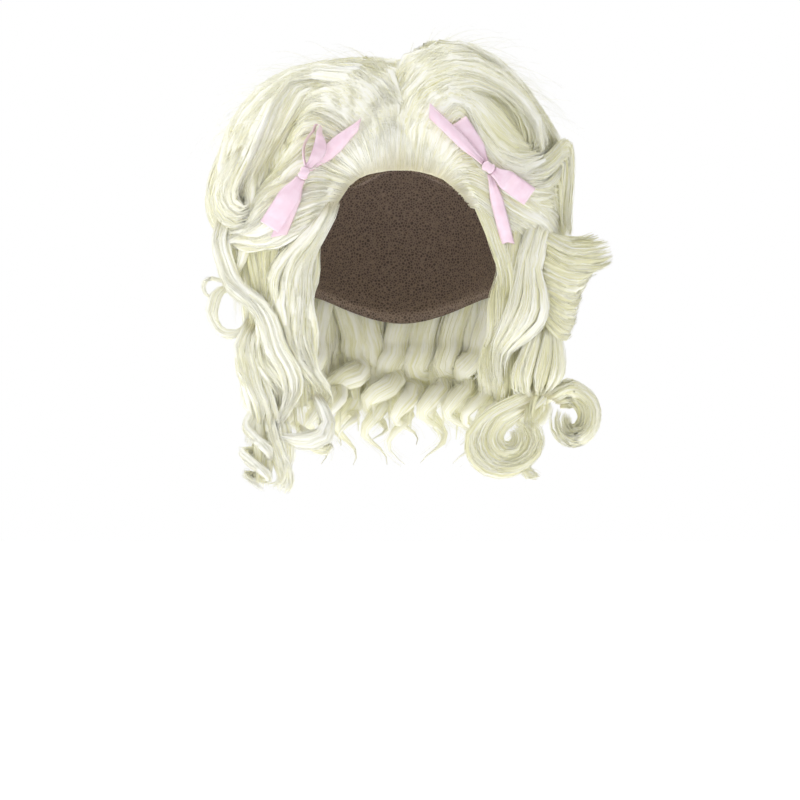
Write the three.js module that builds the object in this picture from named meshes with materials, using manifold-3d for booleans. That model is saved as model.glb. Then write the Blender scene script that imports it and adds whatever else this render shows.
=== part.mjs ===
// Bouffant wig with curled sides and two ribbon bows, in millimetres.
// The origin is the crown of the head, on the inside of the cap. The face looks along -Y and +Z is up.
import * as THREE from "three";
import { LoftGeometry } from "three/addons/geometries/LoftGeometry.js";
import { mergeVertices } from "three/addons/utils/BufferGeometryUtils.js";
import Module from "manifold-3d";

const wasm = await Module();
wasm.setup();

// Head that the cap fits, measured from the middle of the head.
const HEAD_HALF_WIDTH = 75;
const HEAD_HALF_DEPTH = 95;
const HEAD_RISE = 85;
const HEAD_DROP = 110;
const HEAD_MIDDLE = new THREE.Vector3(0, 0, -HEAD_RISE);

// Walls and gaps.
const CAP_WALL = 1.6;
const RIBBON_WALL = 1;
const FIT_GAP = 0.5;
const CAP_GAP = 0.9;
const FALL_GAP = 1.4;
const HEM_OVERRUN = 8;

// Edge of the cap. The turn is in degrees round from the face and is the same on both sides.
const CAP_EDGE = [
  { turn: 0, height: -36 },
  { turn: 30, height: -50 },
  { turn: 47, height: -80 },
  { turn: 64, height: -114 },
  { turn: 80, height: -118 },
  { turn: 100, height: -98 },
  { turn: 125, height: -122 },
  { turn: 180, height: -140 },
];

// Thickness of the crown hair over the cap, at its hem and over its body.
// Negative turns are left of the face, as seen from the front.
const CROWN_HEM = -84;
const CROWN_TOP = 48;
const SWELL_END = 0.4;
const TOP_START = 0.5;
const CROWN_LEAN = 20;
const LEAN_FULL = 0.9;
const CROWN_VOLUME = [
  { turn: -180, hem: 34, body: 46 },
  { turn: -110, hem: 52, body: 64 },
  { turn: -75, hem: 50, body: 66 },
  { turn: -40, hem: 10, body: 48 },
  { turn: 0, hem: 3, body: 40 },
  { turn: 40, hem: 9, body: 45 },
  { turn: 75, hem: 38, body: 55 },
  { turn: 110, hem: 42, body: 54 },
  { turn: 180, hem: 34, body: 46 },
];
const PARTING_DEPTH = 9;
const PARTING_HALF_WIDTH = 16;
const PARTING_FADE = { back: -0.5, front: 0.2, hem: 0.1, top: 0.4 };

// Locks swept back from the hairline.
// Each [x, z] is where the lock is seen from the front, on the crown hair.
const SWEPT_LOCKS = [
  { path: [[-1, -33], [9, 24], [46, 52], [98, 4]], width: 28, thick: 18 },
  { path: [[5, -34], [19, 8], [54, 27], [97, -16]], width: 24, thick: 11 },
  { path: [[11, -36], [28, 2], [56, 6], [72, -24], [101, -34]], width: 19, thick: 11 },
  { path: [[20, -40], [40, -31], [64, -38], [99, -58], [108, -96]], width: 19, thick: 9 },
  { path: [[36, -51], [56, -49], [80, -63], [98, -92], [92, -122]], width: 20, thick: 9 },
  { path: [[84, 10], [104, -14], [116, -40], [118, -84]], width: 26, thick: 14 },
  { path: [[-5, -33], [-19, 16], [-54, 34], [-96, 20], [-125, -22]], width: 26, thick: 11 },
  { path: [[-11, -34], [-28, 5], [-59, 18], [-91, -1], [-107, -48]], width: 24, thick: 11 },
  { path: [[-18, -37], [-40, -2], [-66, 2], [-84, -16], [-90, -50]], width: 19, thick: 11 },
  { path: [[-29, -45], [-50, -36], [-75, -46], [-107, -66], [-118, -106]], width: 19, thick: 9 },
  { path: [[-43, -61], [-63, -58], [-86, -73], [-106, -98], [-94, -128]], width: 20, thick: 9 },
  { path: [[-106, 6], [-126, -26], [-134, -54], [-130, -92]], width: 28, thick: 14 },
];
const SWEPT_SINK = 1.5;

// Locks combed over the top and down the back, side by side.
// They are set out in degrees of turn and of tilt from the crown.
const BACK_LOCKS = {
  first: 92, last: 268, count: 8,
  topTilt: 6, endTilt: 104, lean: 14,
  width: 46, thick: 15,
};

// Walls of hair that hang below the crown hair, between two turns, and the locks that fall over them.
// A lock runs from its root to its tip and swings sideways by `wave`.
// Its end, after the share `from`, coils.
const FALL_TOP = -80;
const WALL_FRONT = 9;
const WALL_FRONT_TURN = 60;
const WALL_FULL_TURN = 80;
const WALL_STEP = 13;
const WALL_OVAL = 0.35;
const FOOT_OUTER = 0.75;
const FOOT_INNER = 0.25;
const FALLS = [
  {
    name: "left_side_curls",
    start: -125, end: -54, foot: -188, inside: 84, outside: 118,
    locks: [
      {
        root: [-68, -58, -86], tip: [-50, -44, -228], wave: 7, waves: 1.4,
        width: 18, thick: 11, curl: 0, turns: 0, from: 0,
      },
      {
        root: [-84, -54, -84], tip: [-76, -48, -252], wave: 8, waves: 1.3,
        width: 24, thick: 13, curl: 9, turns: 1.3, from: 0.6,
      },
      {
        root: [-104, -42, -84], tip: [-102, -46, -258], wave: 8, waves: 1.5,
        width: 27, thick: 14, curl: 10, turns: 1.6, from: 0.58,
      },
      {
        root: [-125, -28, -80], tip: [-98, -32, -214], wave: 9, waves: 1.2,
        width: 27, thick: 14, curl: 9, turns: 1.4, from: 0.5,
      },
      {
        root: [-122, -8, -84], tip: [-127, -16, -140], wave: 3, waves: 0.5,
        width: 22, thick: 9, curl: 9, turns: 1.1, from: 0.3,
      },
      {
        root: [-112, 10, -80], tip: [-86, 6, -238], wave: 7, waves: 1.3,
        width: 32, thick: 18, curl: 11, turns: 1.8, from: 0.5,
      },
      {
        root: [-102, 42, -80], tip: [-86, 40, -240], wave: 7, waves: 1.3,
        width: 32, thick: 18, curl: 11, turns: 1.8, from: 0.5,
      },
    ],
  },
  {
    name: "right_side_curls",
    start: 54, end: 125, foot: -188, inside: 84, outside: 108,
    locks: [
      {
        root: [70, -58, -86], tip: [52, -44, -226], wave: -7, waves: 1.4,
        width: 18, thick: 11, curl: 0, turns: 0, from: 0,
      },
      {
        root: [86, -54, -84], tip: [72, -48, -240], wave: -10, waves: 1.5,
        width: 24, thick: 13, curl: 10, turns: 1.5, from: 0.64,
      },
      {
        root: [102, -44, -84], tip: [94, -42, -240], wave: -9, waves: 1.6,
        width: 25, thick: 13, curl: 10, turns: 1.6, from: 0.62,
      },
      {
        root: [98, -32, -94], tip: [145, -36, -97], wave: -5, waves: 0.5,
        width: 26, thick: 8, curl: 0, turns: 0, from: 0,
      },
      {
        root: [98, -24, -104], tip: [132, -32, -116], wave: -5, waves: 0.5,
        width: 20, thick: 8, curl: 0, turns: 0, from: 0,
      },
      {
        root: [106, -14, -86], tip: [124, -24, -212], wave: -6, waves: 1.2,
        width: 25, thick: 13, curl: 12, turns: 1.2, from: 0.62,
      },
      {
        root: [108, 10, -80], tip: [98, 6, -236], wave: 7, waves: 1.3,
        width: 32, thick: 18, curl: 11, turns: 1.8, from: 0.5,
      },
      {
        root: [100, 42, -80], tip: [86, 40, -240], wave: 7, waves: 1.3,
        width: 32, thick: 18, curl: 11, turns: 1.8, from: 0.5,
      },
    ],
  },
];

// The back fall is a wall with ringlets set out evenly over it.
const BACK_FALL = { name: "back_curls", start: 128, end: 232, foot: -192, inside: 84, outside: 108 };
const BACK_RINGLETS = { first: 136, last: 224, count: 6, reach: 116, draw: 12, top: -80, tip: -242 };
const RINGLET = { wave: 7, waves: 1.3, width: 34, thick: 20, curl: 12, turns: 1.8, from: 0.5 };

// Ribbon bows. The knot is seen from the front as [x, z].
// Each heading is in degrees from +X towards +Z.
// A ribbon rolled by 90 degrees is seen edge on. The spread is how far a loop stands open.
const KNOT = { length: 11, width: 9, height: 7 };
const RIBBON_START = 6.2;
const RIBBON_GAP = 0.8;
const GATHERED = 0.4;
const GATHERED_END = 0.6;
const LOOP_FULLEST = 0.75;
const BOWS = [
  {
    name: "left_bow",
    knot: [-68, -37],
    knotHeading: 65,
    ribbons: [
      { name: "upper_tail", heading: 41, reach: 51, width: 9, spread: 0, roll: 0 },
      { name: "lower_tail", heading: 248, reach: 46, width: 11, spread: 0, roll: 0 },
      { name: "upper_loop", heading: 73, reach: 37, width: 13, spread: 9, roll: 50 },
      { name: "lower_loop", heading: 237, reach: 43, width: 15, spread: 2, roll: 0 },
    ],
  },
  {
    name: "right_bow",
    knot: [60, -33],
    knotHeading: 150,
    ribbons: [
      { name: "upper_tail", heading: 136, reach: 61, width: 8, spread: 0, roll: 0 },
      { name: "lower_tail", heading: 287, reach: 54, width: 9, spread: 0, roll: 0 },
      { name: "upper_loop", heading: 122, reach: 38, width: 12, spread: 2, roll: 0 },
      { name: "lower_loop", heading: 325, reach: 35, width: 14, spread: 4, roll: 0 },
    ],
  },
];

// How full a lock is at its root and tip, and the shares of its length where that begins and ends.
const ROOT_FULLNESS = 0.55;
const ROOT_END = 0.2;
const TIP_FULLNESS = 0.4;
const TIP_START = 0.55;
const COIL_OPENS = 0.5;
const COIL_FACES_OUT = 0.4;

// Finishes.
const HAIR = new THREE.MeshStandardMaterial({ color: 0xe6e2d0, roughness: 0.45, metalness: 0 });
const NET = new THREE.MeshStandardMaterial({ color: 0x6a574a, roughness: 0.9, metalness: 0 });
const SATIN = new THREE.MeshStandardMaterial({ color: 0xf2cfe0, roughness: 0.35, metalness: 0 });

// Fineness of the meshes.
const SHELL_SLICES = 24;
const SHELL_RINGS = 7;
const LOCK_SIDES = 5;
const FEWEST_STATIONS = 6;
const STATION_SPACING = 20;
const STATIONS_PER_COIL = 8;
const TANGENT_STEP = 0.004;
const SLIVER = 0.12;
const HANGING_POINTS = 8;
const RIBBON_STEPS = 7;
const TOUCH_SHARES = [-0.55, -0.36, -0.18, 0, 0.18, 0.36, 0.55];
const KNOT_FINENESS = 10;
const BISECTIONS = 30;
const FAR_FRONT = -200;
const OUTLINE_DEPTH = 10;

const CROWN_WAY = new THREE.Vector3(0, 0, 1);
const BACKWARD = new THREE.Vector3(0, 1, 0);
const { degToRad, radToDeg, lerp, smoothstep, clamp } = THREE.MathUtils;

// Reads a column of a table of rows set out by turn, easing from one row to the next.
function readTable(rows, turn, column) {
  const next = clamp(rows.findIndex((row) => row.turn > turn), 1, rows.length - 1);
  const after = turn >= rows.at(-1).turn ? rows.length - 1 : next;
  const [a, b] = [rows[after - 1], rows[after]];
  return lerp(a[column], b[column], smoothstep(turn, a.turn, b.turn));
}

function direction(turn, tilt) {
  const [t, p] = [degToRad(turn), degToRad(tilt)];
  return new THREE.Vector3(Math.sin(t) * Math.sin(p), -Math.cos(t) * Math.sin(p), Math.cos(p));
}

// Brings a turn into the half circles left and right of the face.
function signedTurn(turn) {
  return ((((turn + 180) % 360) + 360) % 360) - 180;
}

function headRadius(way) {
  const upright = way.z > 0 ? HEAD_RISE : HEAD_DROP;
  return 1 / Math.hypot(way.x / HEAD_HALF_WIDTH, way.y / HEAD_HALF_DEPTH, way.z / upright);
}

function capEdgeHeight(turn) {
  return readTable(CAP_EDGE, Math.abs(signedTurn(turn)), "height");
}

// The tilt from the crown at which the head reaches a height, on the side that the turn gives.
function tiltAtHeight(turn, height) {
  const below = height - HEAD_MIDDLE.z;
  const share = below / (below > 0 ? HEAD_RISE : HEAD_DROP);
  const level = direction(turn, 90);
  const reach = headRadius(level) * Math.sqrt(1 - share * share);
  return radToDeg(Math.atan2(reach, below));
}

function crownHemTilt(turn) {
  return tiltAtHeight(turn, Math.max(capEdgeHeight(turn), CROWN_HEM));
}

// Outer radius of the crown hair. It swells from the hem, stands higher on the right at the top
// and dips along the parting.
function crownRadius(way) {
  const turn = radToDeg(Math.atan2(way.x, -way.y));
  const tilt = radToDeg(Math.acos(clamp(way.z, -1, 1)));
  const climb = clamp(1 - tilt / crownHemTilt(turn), 0, 1);
  const hem = readTable(CROWN_VOLUME, turn, "hem");
  const body = readTable(CROWN_VOLUME, turn, "body");
  const swell = lerp(hem, body, smoothstep(climb, 0, SWELL_END));
  const lean = CROWN_LEAN * way.x * smoothstep(climb, TOP_START, LEAN_FULL);
  const cover = lerp(swell, CROWN_TOP, smoothstep(climb, TOP_START, 1)) + lean;
  const radius = headRadius(way) + CAP_WALL + cover;
  const aside = Math.exp(-((way.x * radius / PARTING_HALF_WIDTH) ** 2));
  const forward = smoothstep(-way.y, PARTING_FADE.back, PARTING_FADE.front);
  const upward = smoothstep(climb, PARTING_FADE.hem, PARTING_FADE.top);
  return radius - PARTING_DEPTH * aside * forward * upward;
}

function atDirection(way, radius) {
  return HEAD_MIDDLE.clone().addScaledVector(way, radius);
}

// The way out of the hair: from the middle of the head, and level with it lower down.
function outwardAt(point) {
  const from = new THREE.Vector3(0, 0, Math.min(point.z, HEAD_MIDDLE.z));
  return point.clone().sub(from).normalize();
}

// Joins the points of a mesh where they meet and drops the triangles that close up.
function weldedMesh(geometry) {
  const bare = new THREE.BufferGeometry().setAttribute("position", geometry.getAttribute("position"));
  const merged = mergeVertices(bare.setIndex(geometry.getIndex()), 1e-3);
  const index = merged.getIndex().array;
  const kept = [];
  for (let i = 0; i < index.length; i += 3) {
    const corners = [index[i], index[i + 1], index[i + 2]];
    if (new Set(corners).size === 3) kept.push(...corners);
  }
  return merged.setIndex(kept);
}

// Closed loft through sections, with its faces pointing out.
// A ring loft ends on its first section again.
function closedLoft(sections, ring = false) {
  const middleOf = (section) => {
    const sum = section.reduce((total, p) => total.add(p), new THREE.Vector3());
    return sum.divideScalar(section.length);
  };
  const ahead = middleOf(sections[1]).sub(middleOf(sections[0]));
  const first = sections[0];
  const facing = new THREE.Vector3();
  first.forEach((p, k) => facing.add(p.clone().cross(first.at(k - 1))));
  const ordered = facing.dot(ahead) < 0 ? sections : sections.map((section) => [...section].reverse());
  const loft = new LoftGeometry(ordered, { capStart: !ring, capEnd: !ring });
  return weldedMesh(loft);
}

function solidOf(geometry) {
  const vertProperties = geometry.getAttribute("position").array;
  const triVerts = new Uint32Array(geometry.getIndex().array);
  return new wasm.Manifold(new wasm.Mesh({ numProp: 3, vertProperties, triVerts }));
}

function geometryOf(solid) {
  const { vertProperties, triVerts } = solid.getMesh();
  const geometry = new THREE.BufferGeometry();
  geometry.setAttribute("position", new THREE.BufferAttribute(vertProperties, 3));
  geometry.setIndex(new THREE.BufferAttribute(triVerts, 1));
  geometry.computeVertexNormals();
  return geometry;
}

function fused(geometries) {
  return geometries.map(solidOf).reduce((whole, piece) => whole.add(piece));
}

// The largest body of a solid, without the slivers that a cut can leave on it.
function largestBody(solid) {
  return solid.decompose().reduce((a, b) => (a.volume() > b.volume() ? a : b)).simplify(SLIVER);
}

function namedMesh(name, geometry, material) {
  const mesh = new THREE.Mesh(geometry, material);
  mesh.name = name;
  return mesh;
}

// Open dome between two radii, from its crown down to a tilt that changes with the turn.
function dome(edgeTilt, innerRadius, outerRadius) {
  const shares = Array.from({ length: SHELL_RINGS + 1 }, (_, i) => i / SHELL_RINGS);
  const slices = Array.from({ length: SHELL_SLICES + 1 }, (_, slice) => {
    const turn = signedTurn(((slice % SHELL_SLICES) * 360) / SHELL_SLICES);
    const column = (radiusOf) =>
      shares.map((share) => {
        const way = share === 0 ? CROWN_WAY : direction(turn, share * edgeTilt(turn));
        return atDirection(way, radiusOf(way));
      });
    return [...column(outerRadius), ...column(innerRadius).reverse()];
  });
  return closedLoft(slices, true);
}

// The room that the head and the cap take up, grown all round by a gap.
function headSpace(gap) {
  const ball = new THREE.SphereGeometry(1, SHELL_SLICES, SHELL_SLICES * 0.75).rotateX(Math.PI / 2);
  const places = ball.getAttribute("position");
  const way = new THREE.Vector3();
  for (let i = 0; i < places.count; i++) {
    way.fromBufferAttribute(places, i).normalize();
    const place = atDirection(way, headRadius(way) + CAP_WALL + gap);
    places.setXYZ(i, place.x, place.y, place.z);
  }
  return solidOf(weldedMesh(ball));
}

// A point on the front of the crown hair, where it is seen at x and z, raised by a lift.
// A place outside the outline of the hair is drawn in to it.
function onCrownFront([x, z], lift) {
  const arm = new THREE.Vector3();
  const outside = (share, y) => {
    arm.set(x * share, y, (z - HEAD_MIDDLE.z) * share);
    const length = arm.length();
    return length > crownRadius(arm.normalize()) + lift;
  };
  const search = (isOutside, outer, inner) => {
    for (let i = 0; i < BISECTIONS; i++) {
      const half = (outer + inner) / 2;
      if (isOutside(half)) outer = half;
      else inner = half;
    }
    return inner;
  };
  const share = outside(1, OUTLINE_DEPTH) ? search((k) => outside(k, OUTLINE_DEPTH), 1, 0) : 1;
  const y = search((depth) => outside(share, depth), FAR_FRONT, OUTLINE_DEPTH);
  return new THREE.Vector3(x * share, y, HEAD_MIDDLE.z + (z - HEAD_MIDDLE.z) * share);
}

// Points down a hanging lock, which swings from side to side as it falls.
function hangingPath({ root, tip, wave, waves }) {
  const [from, to] = [new THREE.Vector3(...root), new THREE.Vector3(...tip)];
  const along = to.clone().sub(from).normalize();
  const side = along.cross(outwardAt(from)).normalize();
  return Array.from({ length: HANGING_POINTS + 1 }, (_, i) => {
    const share = i / HANGING_POINTS;
    const swing = wave * Math.sin(2 * Math.PI * waves * share);
    return from.clone().lerp(to, share).addScaledVector(side, swing);
  });
}

// Sections of a lock of hair along its path: a flat oval that coils towards its tip and tapers.
function lockSections(points, { width, thick, curl = 0, turns = 0, from = 0 }, grow) {
  const spine = new THREE.CatmullRomCurve3(points, false, "centripetal");
  const forLength = Math.round(spine.getLength() / STATION_SPACING);
  const forCoils = Math.round(turns * STATIONS_PER_COIL) + 3;
  const stations = Math.max(FEWEST_STATIONS, forLength, forCoils);
  const at = (share) => {
    const point = spine.getPointAt(share);
    const along = spine.getTangentAt(share);
    const side = along.clone().cross(outwardAt(point)).normalize();
    const out = side.clone().cross(along).normalize();
    const coiled = clamp((share - from) / (1 - from), 0, 1);
    const angle = 2 * Math.PI * turns * coiled;
    const radial = side.multiplyScalar(Math.sin(angle)).addScaledVector(out, Math.cos(angle));
    const swing = curl * smoothstep(coiled, 0, COIL_OPENS);
    const facing = out.lerp(radial, turns > 1 ? smoothstep(coiled, 0, COIL_FACES_OUT) : 0).normalize();
    return { point: point.addScaledVector(radial, swing), facing };
  };
  return Array.from({ length: stations + 1 }, (_, i) => {
    const share = i / stations;
    const { point, facing } = at(share);
    const before = at(Math.max(share - TANGENT_STEP, 0)).point;
    const along = at(Math.min(share + TANGENT_STEP, 1)).point.sub(before).normalize();
    const across = along.clone().cross(facing).normalize();
    const out = across.clone().cross(along);
    point.addScaledVector(along, i === 0 ? -grow : i === stations ? grow : 0);
    const atRoot = lerp(ROOT_FULLNESS, 1, smoothstep(share, 0, ROOT_END));
    const fullness = atRoot * lerp(1, TIP_FULLNESS, smoothstep(share, TIP_START, 1));
    return Array.from({ length: LOCK_SIDES }, (_, k) => {
      const angle = (2 * Math.PI * (k + 0.5)) / LOCK_SIDES;
      return point
        .clone()
        .addScaledVector(across, Math.cos(angle) * ((width / 2) * fullness + grow))
        .addScaledVector(out, Math.sin(angle) * ((thick / 2) * fullness + grow));
    });
  });
}

function lock(points, row, grow) {
  return closedLoft(lockSections(points, row, grow));
}

function backLocks(grow) {
  const { first, last, count, topTilt, endTilt, lean, width, thick } = BACK_LOCKS;
  return Array.from({ length: count }, (_, i) => {
    const turn = lerp(first, last, i / (count - 1));
    const points = [0, 0.33, 0.67, 1].map((share) => {
      const way = direction(turn + lean * Math.sin(Math.PI * share), lerp(topTilt, endTilt, share));
      return atDirection(way, crownRadius(way) - SWEPT_SINK);
    });
    return lock(points, { width, thick }, grow);
  });
}

// The crown hair, whole. A grown copy is larger all round, to cut its neighbours clear of it.
function crownHair(grow) {
  const shell = dome(
    (turn) => crownHemTilt(turn) + radToDeg(grow / HEAD_HALF_WIDTH),
    (way) => headRadius(way) - HEM_OVERRUN,
    (way) => crownRadius(way) + grow,
  );
  const swept = SWEPT_LOCKS.map((row) =>
    lock(row.path.map((place) => onCrownFront(place, -SWEPT_SINK)), row, grow),
  );
  return fused([shell, ...swept, ...backLocks(grow)]).subtract(headSpace(CAP_GAP - grow));
}

// Curved wall of hair that hangs from the hem of the crown hair.
// It is thin beside the face and narrower at its foot.
function fallWall({ start, end, foot, inside, outside }, grow) {
  const steps = Math.ceil((end - start) / WALL_STEP);
  const depthShare = HEAD_HALF_DEPTH / HEAD_HALF_WIDTH;
  const corner = (turn, radius, height) => {
    const way = direction(turn, 90);
    const depth = way.y * radius * lerp(1, depthShare, WALL_OVAL);
    return new THREE.Vector3(way.x * radius, depth, height);
  };
  const sections = Array.from({ length: steps + 1 }, (_, i) => {
    const turn = lerp(start, end, i / steps);
    const full = smoothstep(Math.abs(turn), WALL_FRONT_TURN, WALL_FULL_TURN);
    const face = inside + lerp(WALL_FRONT, outside - inside, full);
    return [
      corner(turn, inside - grow, FALL_TOP + grow),
      corner(turn, face + grow, FALL_TOP + grow),
      corner(turn, face + grow, (FALL_TOP + foot) / 2),
      corner(turn, lerp(inside, face, FOOT_OUTER) + grow, foot - grow),
      corner(turn, lerp(inside, face, FOOT_INNER) - grow, foot - grow),
    ];
  });
  return closedLoft(sections);
}

function ringlets() {
  const { first, last, count, reach, draw, top, tip } = BACK_RINGLETS;
  const place = (way, radius, height) => [way.x * radius, way.y * radius, height];
  return Array.from({ length: count }, (_, i) => {
    const way = direction(lerp(first, last, i / (count - 1)), 90);
    return { ...RINGLET, root: place(way, reach, top), tip: place(way, reach - draw, tip) };
  });
}

function fall(row, locks, grow) {
  return fused([fallWall(row, grow), ...locks.map((each) => lock(hangingPath(each), each, grow))]);
}

const wig = new THREE.Group();
wig.name = "wig";

const capGeometry = dome(
  (turn) => tiltAtHeight(turn, capEdgeHeight(turn)),
  headRadius,
  (way) => headRadius(way) + CAP_WALL,
);
wig.add(namedMesh("wig_cap", capGeometry, NET));

const crown = largestBody(crownHair(0));
const crownMesh = namedMesh("crown_hair", geometryOf(crown), HAIR);
wig.add(crownMesh);

// Each fall is cut clear of the cap, of the crown hair and of the falls before it.
let keepOut = crownHair(FIT_GAP).add(headSpace(CAP_GAP));
for (const row of FALLS) {
  const side = fall(row, row.locks, 0).subtract(keepOut);
  wig.add(namedMesh(row.name, geometryOf(largestBody(side)), HAIR));
}
for (const row of FALLS) keepOut = keepOut.add(fall(row, row.locks, FALL_GAP));
const back = fall(BACK_FALL, ringlets(), 0).subtract(keepOut);
wig.add(namedMesh(BACK_FALL.name, geometryOf(largestBody(back)), HAIR));

// The front of the finished hair, and of the ribbons laid on it so far, where it is seen at x and z.
const frontRay = new THREE.Raycaster();
const laid = [crownMesh];
function frontOf(x, z) {
  frontRay.set(new THREE.Vector3(x, FAR_FRONT, z), BACKWARD);
  const [hit] = frontRay.intersectObjects(laid);
  return hit ? hit.point.y : OUTLINE_DEPTH;
}

// Depth at which a strip from the knot rests on the hair all along, bridging the hollows.
function restingPath([x, z], { heading, reach, width }, lift) {
  const [run, climb] = [Math.cos(degToRad(heading)), Math.sin(degToRad(heading))];
  const shares = Array.from({ length: RIBBON_STEPS + 1 }, (_, i) => i / RIBBON_STEPS);
  const steps = shares.map((share) => lerp(RIBBON_START, reach, share));
  const spot = (far, aside) => [x + run * far - climb * aside, z + climb * far + run * aside];
  const stride = steps[1] - steps[0];
  const touch = steps.map((far) => {
    const row = (on) => TOUCH_SHARES.map((share) => spot(far + on, share * width));
    const spots = [-stride / 2, 0, stride / 2].flatMap(row);
    return Math.min(...spots.map((place) => frontOf(...place)));
  });
  const held = (values, k) => values[clamp(k, 0, values.length - 1)];
  const near = (values, i, pick) => pick(...[i - 1, i, i + 1].map((k) => held(values, k)));
  const bridged = touch.map((_, i) => near(touch, i, Math.min));
  const eased = bridged.map((_, i) => near(bridged, i, (a, b, c) => Math.min(b, (a + 2 * b + c) / 4)));
  return steps.map((far, i) => {
    const [px, pz] = spot(far, 0);
    return new THREE.Vector3(px, eased[i] - lift, pz);
  });
}

// A strip of ribbon along a path, gathered where it leaves the knot.
function strip(path, widths, across) {
  const sections = path.map((point, i) => {
    const next = path[Math.min(i + 1, path.length - 1)];
    const ahead = next.clone().sub(path[Math.max(i - 1, 0)]).normalize();
    const face = ahead.clone().cross(across).normalize();
    const side = face.clone().cross(ahead);
    const half = [widths[i] / 2, RIBBON_WALL / 2];
    return [[1, 1], [-1, 1], [-1, -1], [1, -1]].map(([u, v]) =>
      point.clone().addScaledVector(side, u * half[0]).addScaledVector(face, v * half[1]),
    );
  });
  return closedLoft(sections);
}

// One ribbon of a bow. A tail is a single strip; a loop runs out and comes back over itself.
function ribbon(knot, row, lift) {
  const { width, spread } = row;
  const [heading, roll] = [degToRad(row.heading), degToRad(row.roll)];
  const flat = new THREE.Vector3(-Math.sin(heading), 0, Math.cos(heading));
  const across = flat.clone().multiplyScalar(Math.cos(roll)).addScaledVector(BACKWARD, -Math.sin(roll));
  const apart = flat.clone().multiplyScalar(Math.sin(roll)).addScaledVector(BACKWARD, -Math.cos(roll));
  const gathered = (share) => width * lerp(GATHERED, 1, smoothstep(share, 0, GATHERED_END));
  const shares = Array.from({ length: RIBBON_STEPS + 1 }, (_, i) => i / RIBBON_STEPS);
  if (spread === 0) return strip(restingPath(knot, row, lift), shares.map(gathered), across);
  const stand = lift + (width / 2) * Math.sin(roll) + spread / 2 + RIBBON_WALL;
  const middle = restingPath(knot, row, stand);
  const half = (share) => RIBBON_WALL + (spread / 2) * Math.sin(Math.PI * Math.min(share, LOOP_FULLEST));
  const out = shares.map((share, i) => middle[i].clone().addScaledVector(apart, -half(share)));
  const home = shares.map((share, i) => middle[i].clone().addScaledVector(apart, half(share)));
  const ahead = middle.at(-1).clone().sub(middle.at(-2)).normalize();
  const end = middle.at(-1).clone().addScaledVector(ahead, half(1));
  const widths = [...shares, 1, ...[...shares].reverse()].map(gathered);
  return strip([...out, end, ...home.reverse()], widths, across);
}

function knotOf([x, z], heading) {
  const { length, width, height } = KNOT;
  const ball = new THREE.SphereGeometry(0.5, KNOT_FINENESS, KNOT_FINENESS * 0.6);
  ball.scale(length, height, width).rotateY(-degToRad(heading));
  const offsets = [-length / 2, 0, length / 2];
  const reach = offsets.flatMap((u) => offsets.map((v) => frontOf(x + u, z + v)));
  return weldedMesh(ball.translate(x, Math.min(...reach) - FIT_GAP - height / 2, z));
}

// The tails of a bow lie on the hair, and its loops lie over them.
for (const { name, knot, knotHeading, ribbons } of BOWS) {
  const knotMesh = namedMesh(`${name}_knot`, knotOf(knot, knotHeading), SATIN);
  for (const row of ribbons) {
    const geometry = ribbon(knot, row, RIBBON_GAP + RIBBON_WALL / 2);
    const mesh = namedMesh(`${name}_${row.name}`, geometry, SATIN);
    laid.push(mesh);
    wig.add(mesh);
  }
  wig.add(knotMesh);
}

export default wig;
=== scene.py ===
import bpy
import numpy as np
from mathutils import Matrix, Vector
from mathutils.bvhtree import BVHTree


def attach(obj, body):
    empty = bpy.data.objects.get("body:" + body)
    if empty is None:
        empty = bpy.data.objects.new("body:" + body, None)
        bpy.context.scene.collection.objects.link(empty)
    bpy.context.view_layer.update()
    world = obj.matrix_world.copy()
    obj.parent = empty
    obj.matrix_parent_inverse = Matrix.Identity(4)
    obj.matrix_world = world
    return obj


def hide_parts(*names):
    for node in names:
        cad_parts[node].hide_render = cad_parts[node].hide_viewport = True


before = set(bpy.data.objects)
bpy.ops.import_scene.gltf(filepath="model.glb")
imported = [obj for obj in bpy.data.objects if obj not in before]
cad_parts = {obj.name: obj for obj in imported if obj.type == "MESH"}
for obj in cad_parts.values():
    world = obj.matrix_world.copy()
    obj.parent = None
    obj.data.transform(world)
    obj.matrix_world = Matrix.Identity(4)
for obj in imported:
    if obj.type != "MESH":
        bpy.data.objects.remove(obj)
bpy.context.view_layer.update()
bpy.ops.object.select_all(action="DESELECT")

MM = 0.001
rng = np.random.default_rng(20)

# Head inside the cap, and the cap's edge as (turn from the face, height).
HEAD_HALF_WIDTH = 75
HEAD_HALF_DEPTH = 95
HEAD_RISE = 85
HEAD_DROP = 110
CAP_WALL = 1.6
CAP_EDGE = [
    (0, -36), (30, -50), (47, -80), (64, -114), (80, -118), (100, -98), (125, -122), (180, -140),
]

# Depth of the crown hair over the cap as (turn, at the hem, over the body). Negative turns are left.
CROWN_HEM = -84
CROWN_TOP = 48
CROWN_LEAN = 20
CROWN_VOLUME = [
    (-180, 34, 46), (-110, 52, 64), (-75, 50, 66), (-40, 10, 48), (0, 3, 40),
    (40, 9, 45), (75, 38, 55), (110, 42, 54), (180, 34, 46),
]
PARTING_DEPTH = 9
PARTING_HALF_WIDTH = 16
OUTLINE_DEPTH = 10
FAR_FRONT = -200

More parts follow.
